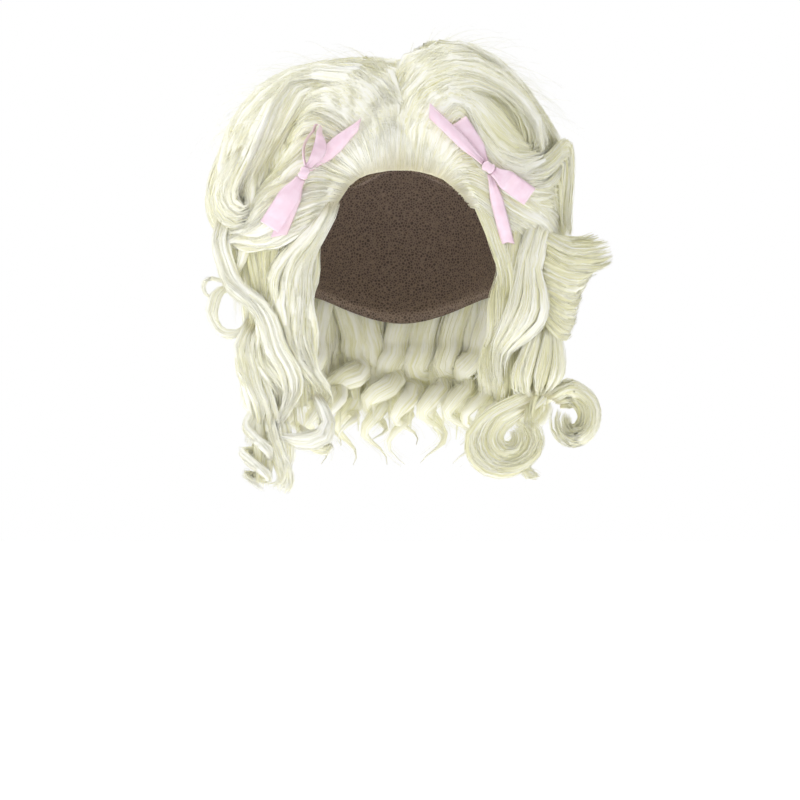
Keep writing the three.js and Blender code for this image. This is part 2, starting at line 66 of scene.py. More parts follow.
# Hair combed up from the hairline and over, as (x, z, lift off the crown's form), parting to temple.
LEFT_ROLL = [
    [(-4, -35, -1), (-5, 0, 0), (-6, 25, 0), (-13, 40, 0), (-37, 46, 0), (-71, 45, 0), (-100, 30, 0),
     (-120, 5, 0), (-129, -20, -1), (-133, -40, -1), (-132, -56, 0)],
    [(-5, -35, -1), (-7, -10, 0), (-9, 19, 0), (-37, 35, 1), (-71, 35, 1), (-98, 19, 1), (-116, -2, 0),
     (-125, -27, 0), (-131, -45, 0), (-132, -58, 0)],
    [(-9, -35, -1), (-11, -10, 0), (-16, 8, 1), (-37, 29, 2), (-61, 33, 3), (-83, 26, 4),
     (-95, 6, 3), (-106, -18, 3), (-115, -36, 2), (-121, -50, 2), (-122, -62, 2)],
    [(-14, -36, -1), (-20, -6, 1), (-37, 14, 1), (-56, 22, 1), (-69, 19, -1), (-78, 8, -4),
     (-86, -6, -7), (-94, -22, -8), (-101, -38, -5), (-104, -52, -2)],
    [(-20, -37, -1), (-29, -9, 1), (-43, 6, 1), (-59, 11, -2), (-70, 5, -8), (-75, -7, -14),
     (-72, -20, -17)],
    [(-28, -39, -1), (-43, -25, 1), (-57, -20, -2), (-71, -23, -7), (-85, -34, -6), (-98, -48, -2)],
    [(-36, -45, -1), (-50, -38, 1), (-66, -38, 1), (-82, -45, 1), (-98, -58, 2), (-110, -72, 1)],
    [(-43, -55, -1), (-59, -54, 1), (-74, -60, 1), (-92, -69, 2), (-110, -75, 2), (-123, -78, 0)],
    [(-50, -66, -1), (-64, -69, 1), (-82, -78, 2), (-98, -83, 2), (-112, -85, 1), (-123, -85, 0)],
]
RIGHT_ROLL = [
    [(-3, -35, -1), (-3, 0, 0), (-2, 25, 0), (4, 45, 2), (20, 58, 4), (45, 60, 5), (72, 50, 3),
     (92, 32, 1), (104, 8, 0), (113, -14, -1)],
    [(-3, -35, -1), (-2, -10, 0), (0, 19, 0), (12, 43, 3), (37, 52, 4), (63, 46, 3), (83, 29, 2),
     (96, 10, 0), (105, -9, 0), (111, -22, -1)],
    [(1, -35, -1), (3, -8, 0), (6, 10, 1), (16, 26, 2), (34, 36, 3), (53, 35, 3), (73, 25, 3),
     (88, 9, 3), (96, -8, 2), (95, -23, -2), (86, -33, -7)],
    [(6, -35, -1), (10, -8, 0), (16, 3, 1), (28, 17, 1), (42, 23, 0), (57, 19, -4), (70, 8, -7),
     (79, -5, -8), (84, -20, -10)],
    [(12, -36, -1), (17, -8, 1), (24, 8, 2), (36, 17, 2), (47, 14, 2), (54, 4, 3), (59, -9, 4),
     (65, -21, 5), (74, -31, 5), (84, -35, 5), (95, -33, 4), (104, -27, 2), (112, -22, 0)],
    [(20, -38, -1), (27, -16, 1), (37, -5, 1), (48, -9, 1), (55, -20, 1), (62, -30, 1),
     (72, -39, 2), (88, -44, 2), (100, -43, 2), (108, -42, 1), (114, -46, 0)],
    [(28, -41, -1), (39, -29, 1), (53, -31, 1), (67, -39, 1), (83, -48, 2), (97, -55, 2), (106, -66, 1),
     (110, -82, 0)],
    [(36, -47, -1), (48, -42, 1), (62, -49, 1), (76, -58, 2), (88, -67, 2), (98, -78, 1), (104, -92, 0)],
    [(47, -58, -1), (58, -58, 1), (69, -66, 1), (79, -77, 1), (87, -92, 0)],
]

# Locks that stand off the crown's outline, as (path, width, thickness, roll in degrees, tip).
LEFT_LOCKS = [
    ([(-96, 26, 12), (-118, 14, -14), (-132, 4, -44), (-131, -6, -66), (-120, -16, -84)], 26, 10, 0, .65),
    ([(-106, 10, 0), (-120, 0, -28), (-131, -8, -50), (-128, -14, -70), (-124, -18, -90)], 24, 9, 0, .65),
]
RIGHT_LOCKS = [
    ([(80, 26, 14), (98, 16, -8), (110, 8, -34), (113, -2, -56), (110, -14, -80)], 26, 10, 0, .6),
]

# Folds of hair beside and below the crown, as (locks, width and thickness of a lock, tone, waviness,
# guide lines from one edge of the fold to the other). A few tones are set low or high as painted shade or
# painted highlight.
LEFT_FOLDS = [
    (10, 11, 3.6, 0.5, 1, [
        [(-60, -64, -84), (-62, -62, -106), (-64, -60, -131), (-62, -57, -154), (-57, -54, -174),
         (-52, -51, -187), (-50, -48, -203)],
        [(-62, -65, -80), (-68, -63, -106), (-73, -61, -129), (-77, -58, -146), (-72, -55, -164),
         (-65, -52, -176), (-57, -49, -194)],
        [(-65, -64, -80), (-75, -62, -105), (-82, -60, -122), (-83, -57, -139), (-80, -54, -155),
         (-73, -52, -169), (-65, -49, -193)],
    ]),
    (9, 11, 3.6, 0.5, 1, [
        [(-64, -64, -82), (-78, -58, -104), (-88, -53, -119), (-93, -49, -135), (-94, -48, -150),
         (-90, -48, -164), (-81, -49, -176), (-75, -49, -189), (-80, -47, -203)],
        [(-70, -62, -84), (-85, -55, -105), (-94, -50, -121), (-99, -46, -139), (-102, -46, -154),
         (-100, -46, -169), (-93, -46, -181), (-90, -46, -194), (-94, -44, -208)],
    ]),
    (9, 9, 3.6, 0.65, 0.5, [
        [(-127, -24, -62), (-133, -24, -80), (-131, -32, -98), (-122, -42, -115), (-107, -53, -131),
         (-98, -55, -146), (-95, -54, -161), (-87, -53, -179), (-83, -52, -193), (-88, -50, -206),
         (-97, -47, -215)],
        [(-116, -38, -64), (-120, -36, -84), (-117, -43, -104), (-107, -52, -118), (-95, -58, -129),
         (-88, -60, -140), (-81, -59, -156), (-73, -57, -172), (-70, -56, -187), (-76, -54, -201),
         (-86, -51, -212)],
    ]),
    # Filler in a hollow, set very low in tone: painted shade for the hollow.
    (16, 7, 2.6, 0.05, 0.3, [
        [(-110, -36, -72), (-107, -42, -96), (-102, -48, -115), (-96, -53, -131)],
        [(-95, -54, -76), (-97, -52, -100), (-97, -52, -118), (-95, -54, -132)],
        [(-78, -60, -74), (-86, -56, -98), (-92, -54, -116), (-95, -55, -132)],
    ]),
    (1, 4, 3, 0.55, 0, [
        [(-118, -20, -112), (-127, -22, -110), (-134, -24, -108), (-139, -24, -112), (-139, -25, -119),
         (-135, -25, -124), (-129, -24, -128)],
        [(-119, -20, -114), (-127, -22, -112), (-133, -24, -111), (-137, -24, -114), (-137, -25, -119),
         (-133, -25, -123), (-128, -24, -126)],
    ]),
    (4, 4, 3.4, 0.6, 0, [
        [(-121, -22, -114), (-131, -24, -116), (-135, -25, -124), (-137, -26, -132), (-133, -26, -142),
         (-127, -26, -149), (-118, -27, -151), (-111, -29, -148), (-107, -32, -141), (-107, -34, -132)],
        [(-119, -22, -119), (-125, -24, -121), (-128, -25, -129), (-129, -26, -138), (-125, -26, -145),
         (-118, -27, -147), (-112, -29, -144), (-109, -32, -138), (-107, -34, -130)],
    ]),
    (9, 11, 3.6, 0.5, 1, [
        [(-108, -36, -138), (-118, -36, -158), (-115, -38, -172), (-108, -40, -186), (-107, -42, -201),
         (-108, -42, -214), (-109, -42, -226)],
        [(-103, -42, -142), (-110, -42, -160), (-106, -44, -175), (-100, -45, -189), (-98, -46, -202),
         (-100, -46, -215), (-100, -46, -227)],
        [(-97, -48, -147), (-101, -48, -163), (-96, -49, -177), (-90, -50, -190), (-87, -50, -201),
         (-88, -49, -214), (-90, -48, -226)],
    ]),
    (6, 7, 5.5, 0.65, 0, [
        [(-96, -38, -190), (-109, -46, -211), (-102, -56, -221), (-91, -48, -229), (-100, -39, -230),
         (-112, -46, -231), (-103, -56, -239), (-92, -48, -246), (-101, -39, -246), (-111, -46, -245),
         (-104, -54, -251), (-97, -48, -256)],
        [(-94, -38, -196), (-105, -46, -216), (-100, -54, -225), (-92, -48, -233), (-100, -41, -234),
         (-108, -46, -235), (-101, -54, -242), (-93, -48, -249), (-101, -41, -249), (-107, -46, -249),
         (-102, -52, -254), (-96, -48, -258)],
    ]),
    (5, 9, 8, 0.4, 0, [
        [(-102, -42, -200), (-102, -46, -222), (-102, -46, -240), (-103, -47, -253)],
        [(-96, -42, -200), (-94, -44, -222), (-93, -44, -240), (-93, -44, -256)],
    ]),
    (9, 9, 3.6, 0.5, 0.4, [
        [(-96, -45, -204), (-93, -46, -221), (-88, -46, -235), (-85, -45, -246), (-88, -44, -256)],
        [(-90, -48, -204), (-88, -50, -219), (-83, -50, -231), (-76, -49, -244), (-75, -48, -252),
         (-79, -46, -260)],
        [(-81, -50, -206), (-78, -51, -222), (-78, -50, -235), (-82, -48, -246), (-89, -47, -254),
         (-95, -46, -252)],
    ]),
    (5, 8, 3.4, 0.75, 0, [
        [(-62, -50, -192), (-56, -50, -205), (-56, -53, -214), (-66, -56, -219), (-76, -56, -220),
         (-85, -53, -219)],
        [(-58, -49, -190), (-50, -50, -209), (-51, -53, -219), (-62, -56, -224), (-73, -56, -224),
         (-84, -53, -221)],
    ]),
    (4, 6, 3, 0.45, 0, [
        [(-72, -48, -212), (-58, -47, -222), (-50, -46, -226), (-51, -46, -231), (-60, -46, -231),
         (-69, -45, -227)],
        [(-70, -48, -216), (-58, -47, -224), (-53, -46, -226), (-55, -46, -229), (-61, -46, -228),
         (-67, -45, -225)],
    ]),
    (14, 13, 3.6, 0.4, 0.3, [
        [(-68, -52, -84), (-72, -48, -130), (-70, -46, -165), (-62, -43, -210)],
        [(-95, -46, -80), (-95, -50, -125), (-90, -46, -165), (-88, -40, -232)],
        [(-112, -26, -74), (-103, -28, -110), (-97, -30, -150), (-96, -30, -214)],
    ]),
    (9, 9, 3.4, 0.5, 0, [
        [(-120, -42, -24), (-129, -34, -40), (-133, -28, -54), (-129, -32, -67), (-120, -45, -74),
         (-109, -56, -73)],
        [(-112, -55, -18), (-120, -48, -34), (-126, -40, -48), (-124, -42, -60), (-116, -50, -67),
         (-107, -58, -65)],
        [(-103, -65, -20), (-110, -60, -34), (-116, -53, -46), (-117, -51, -55), (-112, -55, -61),
         (-104, -61, -58)],
    ]),
    (10, 9, 3, 0.45, 0.3, [
        [(-46, -84, -57), (-49, -84, -66), (-54, -83, -74), (-60, -78, -84), (-65, -72, -98),
         (-67, -66, -114), (-68, -62, -132), (-66, -60, -152), (-60, -57, -172)],
        [(-49, -83, -57), (-52, -83, -66), (-58, -80, -77), (-67, -73, -88), (-74, -68, -102),
         (-77, -62, -120), (-77, -60, -138), (-74, -58, -158), (-67, -55, -178)],
        [(-50, -82, -62), (-62, -77, -73), (-75, -69, -84), (-86, -63, -96), (-93, -59, -110),
         (-92, -55, -124), (-91, -51, -140), (-88, -47, -156)],
    ]),
]
RIGHT_FOLDS = [
    (9, 11, 3.6, 0.5, 1, [
        [(71, -63, -72), (71, -63, -94), (70, -61, -110), (69, -59, -126), (65, -57, -143),
         (60, -54, -159), (59, -51, -176), (56, -48, -191)],
        [(84, -62, -68), (80, -63, -89), (77, -63, -101), (76, -62, -116), (74, -61, -131),
         (67, -58, -146), (64, -55, -159), (63, -51, -175), (64, -48, -191)],
    ]),
    # Tone raised on this band: a painted highlight.
    (12, 11, 3.6, 0.75, 0.4, [
        [(92, -56, -68), (86, -62, -87), (82, -64, -101), (80, -65, -115), (77, -64, -129),
         (70, -62, -142), (65, -59, -155), (64, -56, -166), (65, -52, -184)],
        [(97, -52, -68), (92, -60, -91), (89, -64, -104), (91, -66, -116), (90, -66, -129),
         (82, -64, -142), (72, -61, -155), (68, -57, -166), (67, -53, -184)],
        [(104, -44, -68), (97, -55, -92), (94, -61, -105), (99, -64, -116), (100, -65, -129),
         (95, -63, -142), (84, -61, -154), (74, -58, -163), (70, -54, -179)],
    ]),
    (30, 7, 3.2, 0.5, 0, [
        [(92, -44, -70), (109, -48, -80), (121, -46, -82), (134, -42, -77)],
        [(94, -48, -80), (115, -51, -91), (131, -46, -91), (146, -41, -88)],
        [(95, -51, -90), (114, -53, -100), (129, -48, -102), (144, -42, -100), (148, -40, -97)],
        [(95, -53, -100), (115, -53, -108), (126, -49, -109), (135, -44, -105)],
        [(95, -54, -109), (114, -54, -117), (124, -49, -117), (130, -44, -111)],
        [(95, -54, -117), (111, -54, -127), (120, -50, -129), (124, -45, -126)],
        [(95, -53, -124), (110, -52, -138), (119, -48, -142), (121, -43, -139)],
        [(94, -52, -130), (106, -50, -148), (114, -46, -152), (118, -42, -149)],
    ]),
    # Tone raised on this curl: a painted highlight.
    (14, 9, 3.6, 0.65, 0.2, [
        [(90, -52, -144), (82, -55, -165), (77, -56, -176), (75, -54, -185), (78, -46, -190)],
        [(94, -53, -144), (86, -57, -166), (84, -58, -177), (84, -56, -186), (87, -46, -191)],
        [(99, -52, -144), (94, -57, -166), (91, -59, -177), (90, -57, -186), (92, -47, -191)],
        [(105, -50, -144), (104, -55, -166), (102, -57, -177), (99, -55, -186), (97, -46, -190)],
        [(108, -46, -144), (112, -50, -166), (112, -52, -177), (107, -51, -185), (100, -44, -189)],
    ]),
    (16, 8, 3.6, 0.5, 0, [
        [(96, -46, -186), (78, -50, -193), (59, -52, -204), (46, -52, -216), (44, -52, -228),
         (50, -52, -240), (65, -52, -246), (81, -51, -244), (94, -49, -236), (100, -47, -226),
         (98, -45, -214), (91, -43, -207)],
        [(90, -45, -192), (75, -49, -200), (62, -50, -207), (55, -50, -217), (54, -50, -226),
         (60, -50, -235), (70, -50, -239), (81, -49, -236), (88, -47, -229), (90, -46, -220),
         (86, -45, -212), (81, -44, -209)],
        [(84, -44, -204), (76, -47, -208), (69, -48, -212), (65, -48, -219), (65, -48, -225),
         (69, -48, -230), (74, -48, -231), (79, -47, -229), (81, -46, -224), (81, -45, -219),
         (79, -44, -216), (76, -44, -216)],
        [(80, -43, -208), (75, -45, -212), (71, -46, -216), (69, -46, -221), (71, -46, -225),
         (75, -46, -226), (77, -45, -223), (77, -45, -220), (75, -44, -219)],
    ]),
    (15, 8, 3.6, 0.6, 0, [
        [(96, -36, -190), (109, -39, -186), (121, -40, -184), (133, -41, -191), (138, -42, -204),
         (135, -42, -217), (126, -42, -225), (115, -41, -226), (107, -40, -220), (105, -38, -210),
         (107, -36, -200)],
        [(103, -38, -194), (111, -43, -190), (121, -45, -188), (130, -45, -195), (133, -45, -204),
         (131, -45, -214), (124, -45, -221), (115, -44, -221), (111, -42, -216), (109, -40, -209),
         (111, -38, -202)],
        [(108, -28, -196), (118, -33, -194), (125, -35, -197), (128, -35, -204), (127, -35, -212),
         (122, -35, -216), (117, -34, -216), (115, -33, -211), (116, -32, -205)],
        [(112, -22, -198), (118, -25, -197), (122, -26, -200), (124, -26, -205), (122, -26, -211),
         (119, -26, -213), (117, -26, -210), (117, -26, -206)],
    ]),
    (3, 8, 3.4, 0.45, 0, [
        [(84, -46, -234), (90, -46, -242), (98, -45, -247)],
        [(78, -47, -238), (85, -47, -246), (93, -46, -249)],
    ]),
    (14, 13, 3.6, 0.25, 0.3, [
        [(70, -52, -74), (72, -49, -120), (70, -46, -160), (66, -44, -206)],
        [(95, -44, -70), (97, -45, -120), (95, -43, -165), (88, -40, -226)],
        [(110, -26, -66), (110, -29, -112), (106, -31, -150), (101, -30, -202)],
    ]),
    (12, 8, 3.4, 0.5, 0, [
        [(84, -72, -35), (95, -65, -31), (105, -54, -24), (112, -42, -16), (117, -32, -15),
         (119, -26, -24), (119, -22, -38), (118, -22, -52), (118, -28, -66), (119, -36, -78)],
        [(84, -72, -41), (96, -64, -39), (104, -56, -34), (109, -47, -28), (112, -40, -31),
         (112, -36, -43), (111, -34, -56), (111, -38, -70), (113, -42, -82)],
    ]),
    (5, 10, 3.4, 0.4, 0, [
        [(100, -52, -28), (104, -46, -46), (106, -40, -64), (106, -38, -86)],
        [(108, -38, -26), (112, -30, -46), (112, -28, -64), (110, -30, -86)],
    ]),
    (2, 4, 2.6, 0.6, 0, [
        [(90, -67, -46), (100, -60, -44), (106, -54, -39), (110, -47, -32), (106, -50, -26)],
        [(91, -66, -49), (101, -59, -47), (108, -52, -41), (111, -46, -34), (108, -48, -27)],
    ]),
    (8, 9, 3, 0.45, 0.3, [
        [(49, -73, -51), (53, -77, -62), (59, -75, -74), (65, -70, -88), (69, -65, -104), (70, -62, -120),
         (68, -60, -138), (63, -57, -156)],
        [(55, -71, -49), (58, -74, -58), (63, -73, -68), (70, -68, -82), (75, -65, -96), (77, -64, -112),
         (75, -62, -130), (69, -59, -148)],
    ]),
]

# Ringlets down the sides behind the front locks, and down the back, as (root, tip).
LEFT_RINGLETS = [
    ((-108, -14, -72), (-96, -18, -220)), ((-104, -30, -74), (-92, -28, -216)),
    ((-110, 2, -76), (-97, 0, -230)), ((-107, 24, -76), (-92, 22, -236)),
    ((-98, 48, -76), (-86, 44, -240)), ((-100, 12, -80), (-88, 12, -224)), ((-95, 36, -80), (-83, 34, -228)),
]
RIGHT_RINGLETS = [
    ((104, -14, -70), (94, -18, -216)), ((100, -30, -72), (90, -28, -212)),
    ((103, 0, -74), (93, 0, -230)), ((102, 24, -74), (90, 22, -234)),
    ((96, 48, -74), (84, 44, -240)), ((95, 12, -80), (86, 12, -224)), ((91, 36, -80), (81, 34, -228)),
]
BACK_RINGLETS = {"first": 132, "last": 228, "count": 9, "reach": 112, "draw": 10, "top": -72, "tip": -240}
UNDER_RINGLETS = {"top": -96, "tip": -226, "draw": 0.86}
RINGLET = {"width": 22, "thick": 14, "wave": 6, "waves": 1.2, "curl": 10, "turns": 2.2, "start": 0.42}

# Flat hair behind the back ringlets: the turns it covers, and its fall as (reach from the middle, z).
BACK_FILL_TURNS = (104, 256)
BACK_FILL_LINES = 9
BACK_FILL = [(106, -40), (107, -66), (106, -92), (104, -124), (99, -176), (92, -216)]

# Padding between the cap and the crown hair, drawn in at the back.
PAD_GAP = 1
PAD_INSET = 11
PAD_LEAST = 3
PAD_DRAW = 24
PAD_HEM = 0.96
# PAD_TONE is set low: painted shade on the padding, which shows only deep between the locks.
PAD_TONE = 0.35
PAD_ALONG = 0.5
PAD_GRAIN = 6
DOME_SEGMENTS = 96
DOME_RINGS = 48

# Strands: half their breadth, their ends and bunches, and the few that stray further.
PATH_PLACES = 60
STRAND_HALF = (0.14, 0.3)
STRAND_CORNERS = 3
STRAND_REACH = (0.72, 1.1)
STRAND_TONES = 0.14
# STRAND_LIGHT and UPPER_LIGHT are painted light: strands lighter than the body under them, and lighter still
# on a lock's outer side.
STRAND_LIGHT = 0.05
UPPER_LIGHT = 0.1
ROOT_SPREAD = 0.02
TIP_SPREAD = 0.2
BUNCH_SPREAD = 3.2
SWAY_BEATS = (0.6, 2.0)
SWAY_SHARE = (0.2, 1)
LOOSE_SHARE = 0.09
LOOSE_SWAY = 3.5
GRAIN_STRETCH = 14

# The body of a lock, under its strands. Ridges as (number round the lock, depth).
BODY_SIZE = 0.84
BODY_ROOT = 0.3
BODY_TIP = 0.94
# BODY_SHADE is painted shade: a lock's body is darker than the strands over it.
BODY_SHADE = 0.05
BODY_TWIST = 2.5
CORNERS_PER_MM = 0.7
BODY_CORNERS = (7, 12)
BODY_RIDGES = ((2, 0.05), (3, 0.06), (5, 0.05), (7, 0.04))
# RIDGE_SHADE paints shade in the grooves between a body's ridges and light on their crests.
RIDGE_SHADE = 1.2

# How each kind of hair is combed. A pair is the range that a lock's own value is drawn from, and lifts
# and sinks are off the crown's form.
WITHIN = (0.1, 0.9)
# WAVE_SHADE paints light on the crests of waves and shade in their troughs.
WAVE_SHADE = 0.15
# In ROLL, the shaded, shade and lift_shade entries paint shade: locks lying in hollows of the guides, and
# locks sunk lower, are darker.
ROLL = {
    "width": (12, 20), "thick": (3, 4.4), "wave": 2.2, "waves": 1.4, "shift": 0.45, "uneven": 0.07,
    "lift": -0.9, "lift_spread": 0.6, "swell": 1.0, "lag": 0.9, "shaded": (-18, 3), "shade": 26,
    "lift_shade": 0.1,
}
UNDER_ROLL = {"sink": 4, "start": 16, "width": 24, "thick": 3.5}
FOLD = {
    "wave": 48, "sway": 2.2, "swell": 2.4, "wave_from": 5, "wave_full": 40, "uneven": 0.05, "scatter": 0.08,
    "tones": 0.06, "widths": (0.8, 1.3), "thicks": (0.8, 1.2), "stray": 0.11, "part": 0.12,
}
STATION_STEP = 9
STATION_TURN = 20
STATION_RANGE = (7, 34)
PARTING = {
    "turns": (-10, 8), "hem": 0.95, "over": (20, 45), "narrow": 0.35, "sink": 1.5, "dip": 2.5,
    "uneven": 0.6, "width": (8, 12), "thick": (4, 6),
}
BACK_LOCK = {
    "turns": (56, 304), "lean": (4, 14), "lean_turn": 60, "sway": (1, 3.5), "waves": 1.6, "start": (-16, 22),
    "fall": (84, 112), "lowest": 112, "lift": -5, "lift_spread": 2, "side_sink": 10, "tip_sink": 3,
    "root_sink": 9, "curl": (3, 8), "curls": (0.8, 1.3), "curl_start": 0.66, "curl_phase": 6.3,
    "width": (18, 28), "thick": (6, 9),
}
WISP = {
    "first": 8, "last": 12, "aside": 6, "down": 3, "run": (18, 42), "rise": (3, 13), "arch": 2.2, "curl": 9,
    "half": (0.1, 0.2), "thin": 0.6, "tone": 0.7,
}

# Finishes, in linear colour. Light that hair passes on is yellower than the hair itself.
FIBRE_TONES = [(0.0, (0.80, 0.785, 0.56)), (0.5, (0.93, 0.926, 0.87)), (1.0, (0.96, 0.96, 0.955))]
# Painted shade at the root ends of the hair: darker and yellower where the hair leaves the cap.
FIBRE_ROOT_SHADE = [(0.0, (0.84, 0.80, 0.68)), (0.09, (1, 1, 1))]
# PASSED_LIGHT paints the shade between locks yellow-olive: rays bounced off the fibre see this colour instead
# of its own.
PASSED_LIGHT = (0.985, 0.97, 0.7)
NET_TONES = [(0.0, (0.26, 0.19, 0.15)), (0.12, (0.17, 0.12, 0.09)), (0.3, (0.07, 0.05, 0.04))]
SATIN_TONES = [(0.25, (0.78, 0.56, 0.66)), (0.75, (0.85, 0.68, 0.78))]

# Bows: the knot's place as seen from the front, and each ribbon's heading from +X towards +Z.
# Tails as (name, heading, reach, width, width left at the end, slant and notch of the end, cupping).
# Loops as (name, heading, reach, width, opening, roll of the loop, roll of its strip going out and
# coming home, share of the reach where it is widest open). A strip rolled by 90 is seen edge on.
BOWS = [
    {
        "name": "left_bow",
        "knot": (-68, -37),
        "heading": 65,
        "laid_last": "lower_loop",
        "tails": [
            ("upper_tail", 41, 51, 10.5, 0.55, 4, 0, 2.6),
            ("lower_tail", 248, 47, 10, 1, -3, 0, 2.0),
        ],
        "loops": [
            ("upper_loop", 74, 33, 11, 10, 78, 30, 82, 0.9),
            ("lower_loop", 237, 43, 15, 2, 0, 0, 0, 0.7),
        ],
    },
    {
        "name": "right_bow",
        "knot": (60, -33),
        "heading": 150,
        "laid_last": "upper_tail",
        "tails": [
            ("upper_tail", 136, 57, 8, 1, -3.5, 0, 1.6),
            ("lower_tail", 284.5, 55, 9, 1, 1, 1.5, 2.2),
        ],
        "loops": [
            ("upper_loop", 123, 35, 13, 7, 0, 0, 0, 0.7),
            ("lower_loop", 325, 33, 14, 4, 0, 0, 0, 0.7),
        ],
    },
]
RIBBON_START = 4.5
RIBBON_GAP = 1.8
TAIL_GAP = 2.6
LOOP_LEAST = 0.6
RIBBON_WALL = 0.3
RIBBON_STEPS = 26
RIBBON_ROWS = 9
REST_BREADTH = 0.55
REST_STEPS = 4
KNOT_GATHER = 0.48
GATHER_END = 0.42
PLEAT_BEATS = 3
PLEAT_DEPTH = 0.8
PLEAT_END = 0.55
KNOT_SIZE = (9, 6, 7)
KNOT_ROUND = 0.65
KNOT_CREASE = 0.1
KNOT_CREASES = 7
KNOT_REACH = 5
KNOT_SINK = 2.1

# Floor, light and camera, in metres. Lamps as (name, place, size, power).
FLOOR_HEIGHT = -0.46
FLOOR_SIZE = 40
FLOOR_GLOW = 0.62
VIEW_MIDDLE = Vector((-0.0014, 0.0, -0.1946))
VIEW_WIDTH = 0.56
CAMERA_AWAY = 12
SENSOR_WIDTH = 36
BRIGHT_SIDE = (-0.78, 0.0, 0.62)
SKY_DIM = 0.14
SKY_BRIGHT = 1.05
LAMPS = [
    ("key", (-1.2, -1.2, 0.5), 1.2, 1),
    ("top", (-0.2, 0.1, 1.6), 1.6, 15),
]


def ease(value, low=0.0, high=1.0):
    share = np.clip((value - low) / (high - low), 0, 1)
    return share * share * (3 - 2 * share)


def unit(rows):
    return rows / np.maximum(np.linalg.norm(rows, axis=-1, keepdims=True), 1e-9)


def read_rows(rows, turn, column):
    """A column of a table set out by turn, easing from row to row."""
    table = np.array(rows, float)
    after = np.clip(np.searchsorted(table[:, 0], turn, side="right"), 1, len(table) - 1)
    low, high = table[after - 1], table[after]
    share = ease(turn, low[..., 0], high[..., 0])
    return low[..., column] + (high[..., column] - low[..., column]) * share


def way_of(turn, tilt):
    """The way out from the middle of the head, by turn from the face and tilt from the crown."""
    t, p = np.broadcast_arrays(np.radians(turn), np.radians(tilt))
    return np.stack([np.sin(t) * np.sin(p), -np.cos(t) * np.sin(p), np.cos(p)], axis=-1)


def head_radius(way):
    upright = np.where(way[..., 2] > 0, HEAD_RISE, HEAD_DROP)
    shares = [way[..., 0] / HEAD_HALF_WIDTH, way[..., 1] / HEAD_HALF_DEPTH, way[..., 2] / upright]
    return 1 / np.sqrt(shares[0] ** 2 + shares[1] ** 2 + shares[2] ** 2)


def cap_edge_tilt(turn, lowest=-500):
    """The tilt at which the cap ends, or at which the head reaches the lowest height."""
    height = np.maximum(read_rows(CAP_EDGE, np.abs(turn), 1), lowest)
    above = height + HEAD_RISE
    share = above / np.where(above > 0, HEAD_RISE, HEAD_DROP)
    reach = head_radius(way_of(turn, 90.0)) * np.sqrt(1 - share**2)
    return np.degrees(np.arctan2(reach, above))


def turn_and_tilt(way):
    turn = np.degrees(np.arctan2(way[..., 0], -way[..., 1]))
    return turn, np.degrees(np.arccos(np.clip(way[..., 2], -1, 1)))


def crown_radius(way):
    """Outer radius of the crown hair: swollen over the hem, higher on the right, parted in front."""
    turn, tilt = turn_and_tilt(way)
    climb = np.clip(1 - tilt / cap_edge_tilt(turn, CROWN_HEM), 0, 1)
    hem = read_rows(CROWN_VOLUME, turn, 1)
    body = read_rows(CROWN_VOLUME, turn, 2)
    swell = hem + (body - hem) * ease(climb, 0, 0.4)
    cover = swell + (CROWN_TOP - swell) * ease(climb, 0.5, 1)
    radius = head_radius(way) + CAP_WALL + cover + CROWN_LEAN * way[..., 0] * ease(climb, 0.5, 0.9)
    parted = np.exp(-((way[..., 0] * radius / PARTING_HALF_WIDTH) ** 2)) * ease(-way[..., 1], -0.5, 0.2)
    return radius - PARTING_DEPTH * parted * ease(climb, 0.1, 0.4)


def from_head(way, radius):
    """Places at a radius from the middle of the head."""
    return way * radius[:, None] - np.array([0, 0, HEAD_RISE])


def on_crown(x, z, lift):
    """Places on the front of the crown hair, where they are seen at x and z, raised by a lift."""
    up = z + HEAD_RISE

    def outside(share, depth):
        arm = np.stack([x * share, depth + 0 * x, up * share], axis=-1)
        length = np.linalg.norm(arm, axis=-1)
        return length > crown_radius(arm / length[..., None]) + lift

    def search(is_outside, outer, inner):
        outer, inner = outer + 0 * x, inner + 0 * x
        for _ in range(24):
            half = (outer + inner) / 2
            out = is_outside(half)
            outer, inner = np.where(out, half, outer), np.where(out, inner, half)
        return inner

    drawn_in = search(lambda share: outside(share, OUTLINE_DEPTH), 1.0, 0.0)
    share = np.where(outside(1.0, OUTLINE_DEPTH), drawn_in, 1.0)
    depth = search(lambda y: outside(share, y), float(FAR_FRONT), float(OUTLINE_DEPTH))
    return np.stack([x * share, depth, up * share - HEAD_RISE], axis=-1)


def run_along(line):
    """Length of a line from its start to each of its places."""
    return np.concatenate([[0], np.cumsum(np.linalg.norm(np.diff(line, axis=0), axis=1))])


def smooth_line(points, count):
    """Evenly spaced places along a smooth line through the points."""
    points = np.array(points, float)
    ends = np.vstack([2 * points[0] - points[1], points, 2 * points[-1] - points[-2]])
    at = np.linspace(0, len(points) - 1, 30 * len(points))
    k = np.minimum(at.astype(int), len(points) - 2)
    f = (at - k)[:, None]
    a, b, c, d = ends[k], ends[k + 1], ends[k + 2], ends[k + 3]
    fine = 0.5 * (2 * b + (c - a) * f + (2 * a - 5 * b + 4 * c - d) * f**2 + (3 * b - a - 3 * c + d) * f**3)
    run = run_along(fine)
    even = np.linspace(0, run[-1], count)
    return np.stack([np.interp(even, run, fine[:, i]) for i in range(fine.shape[1])], axis=-1)


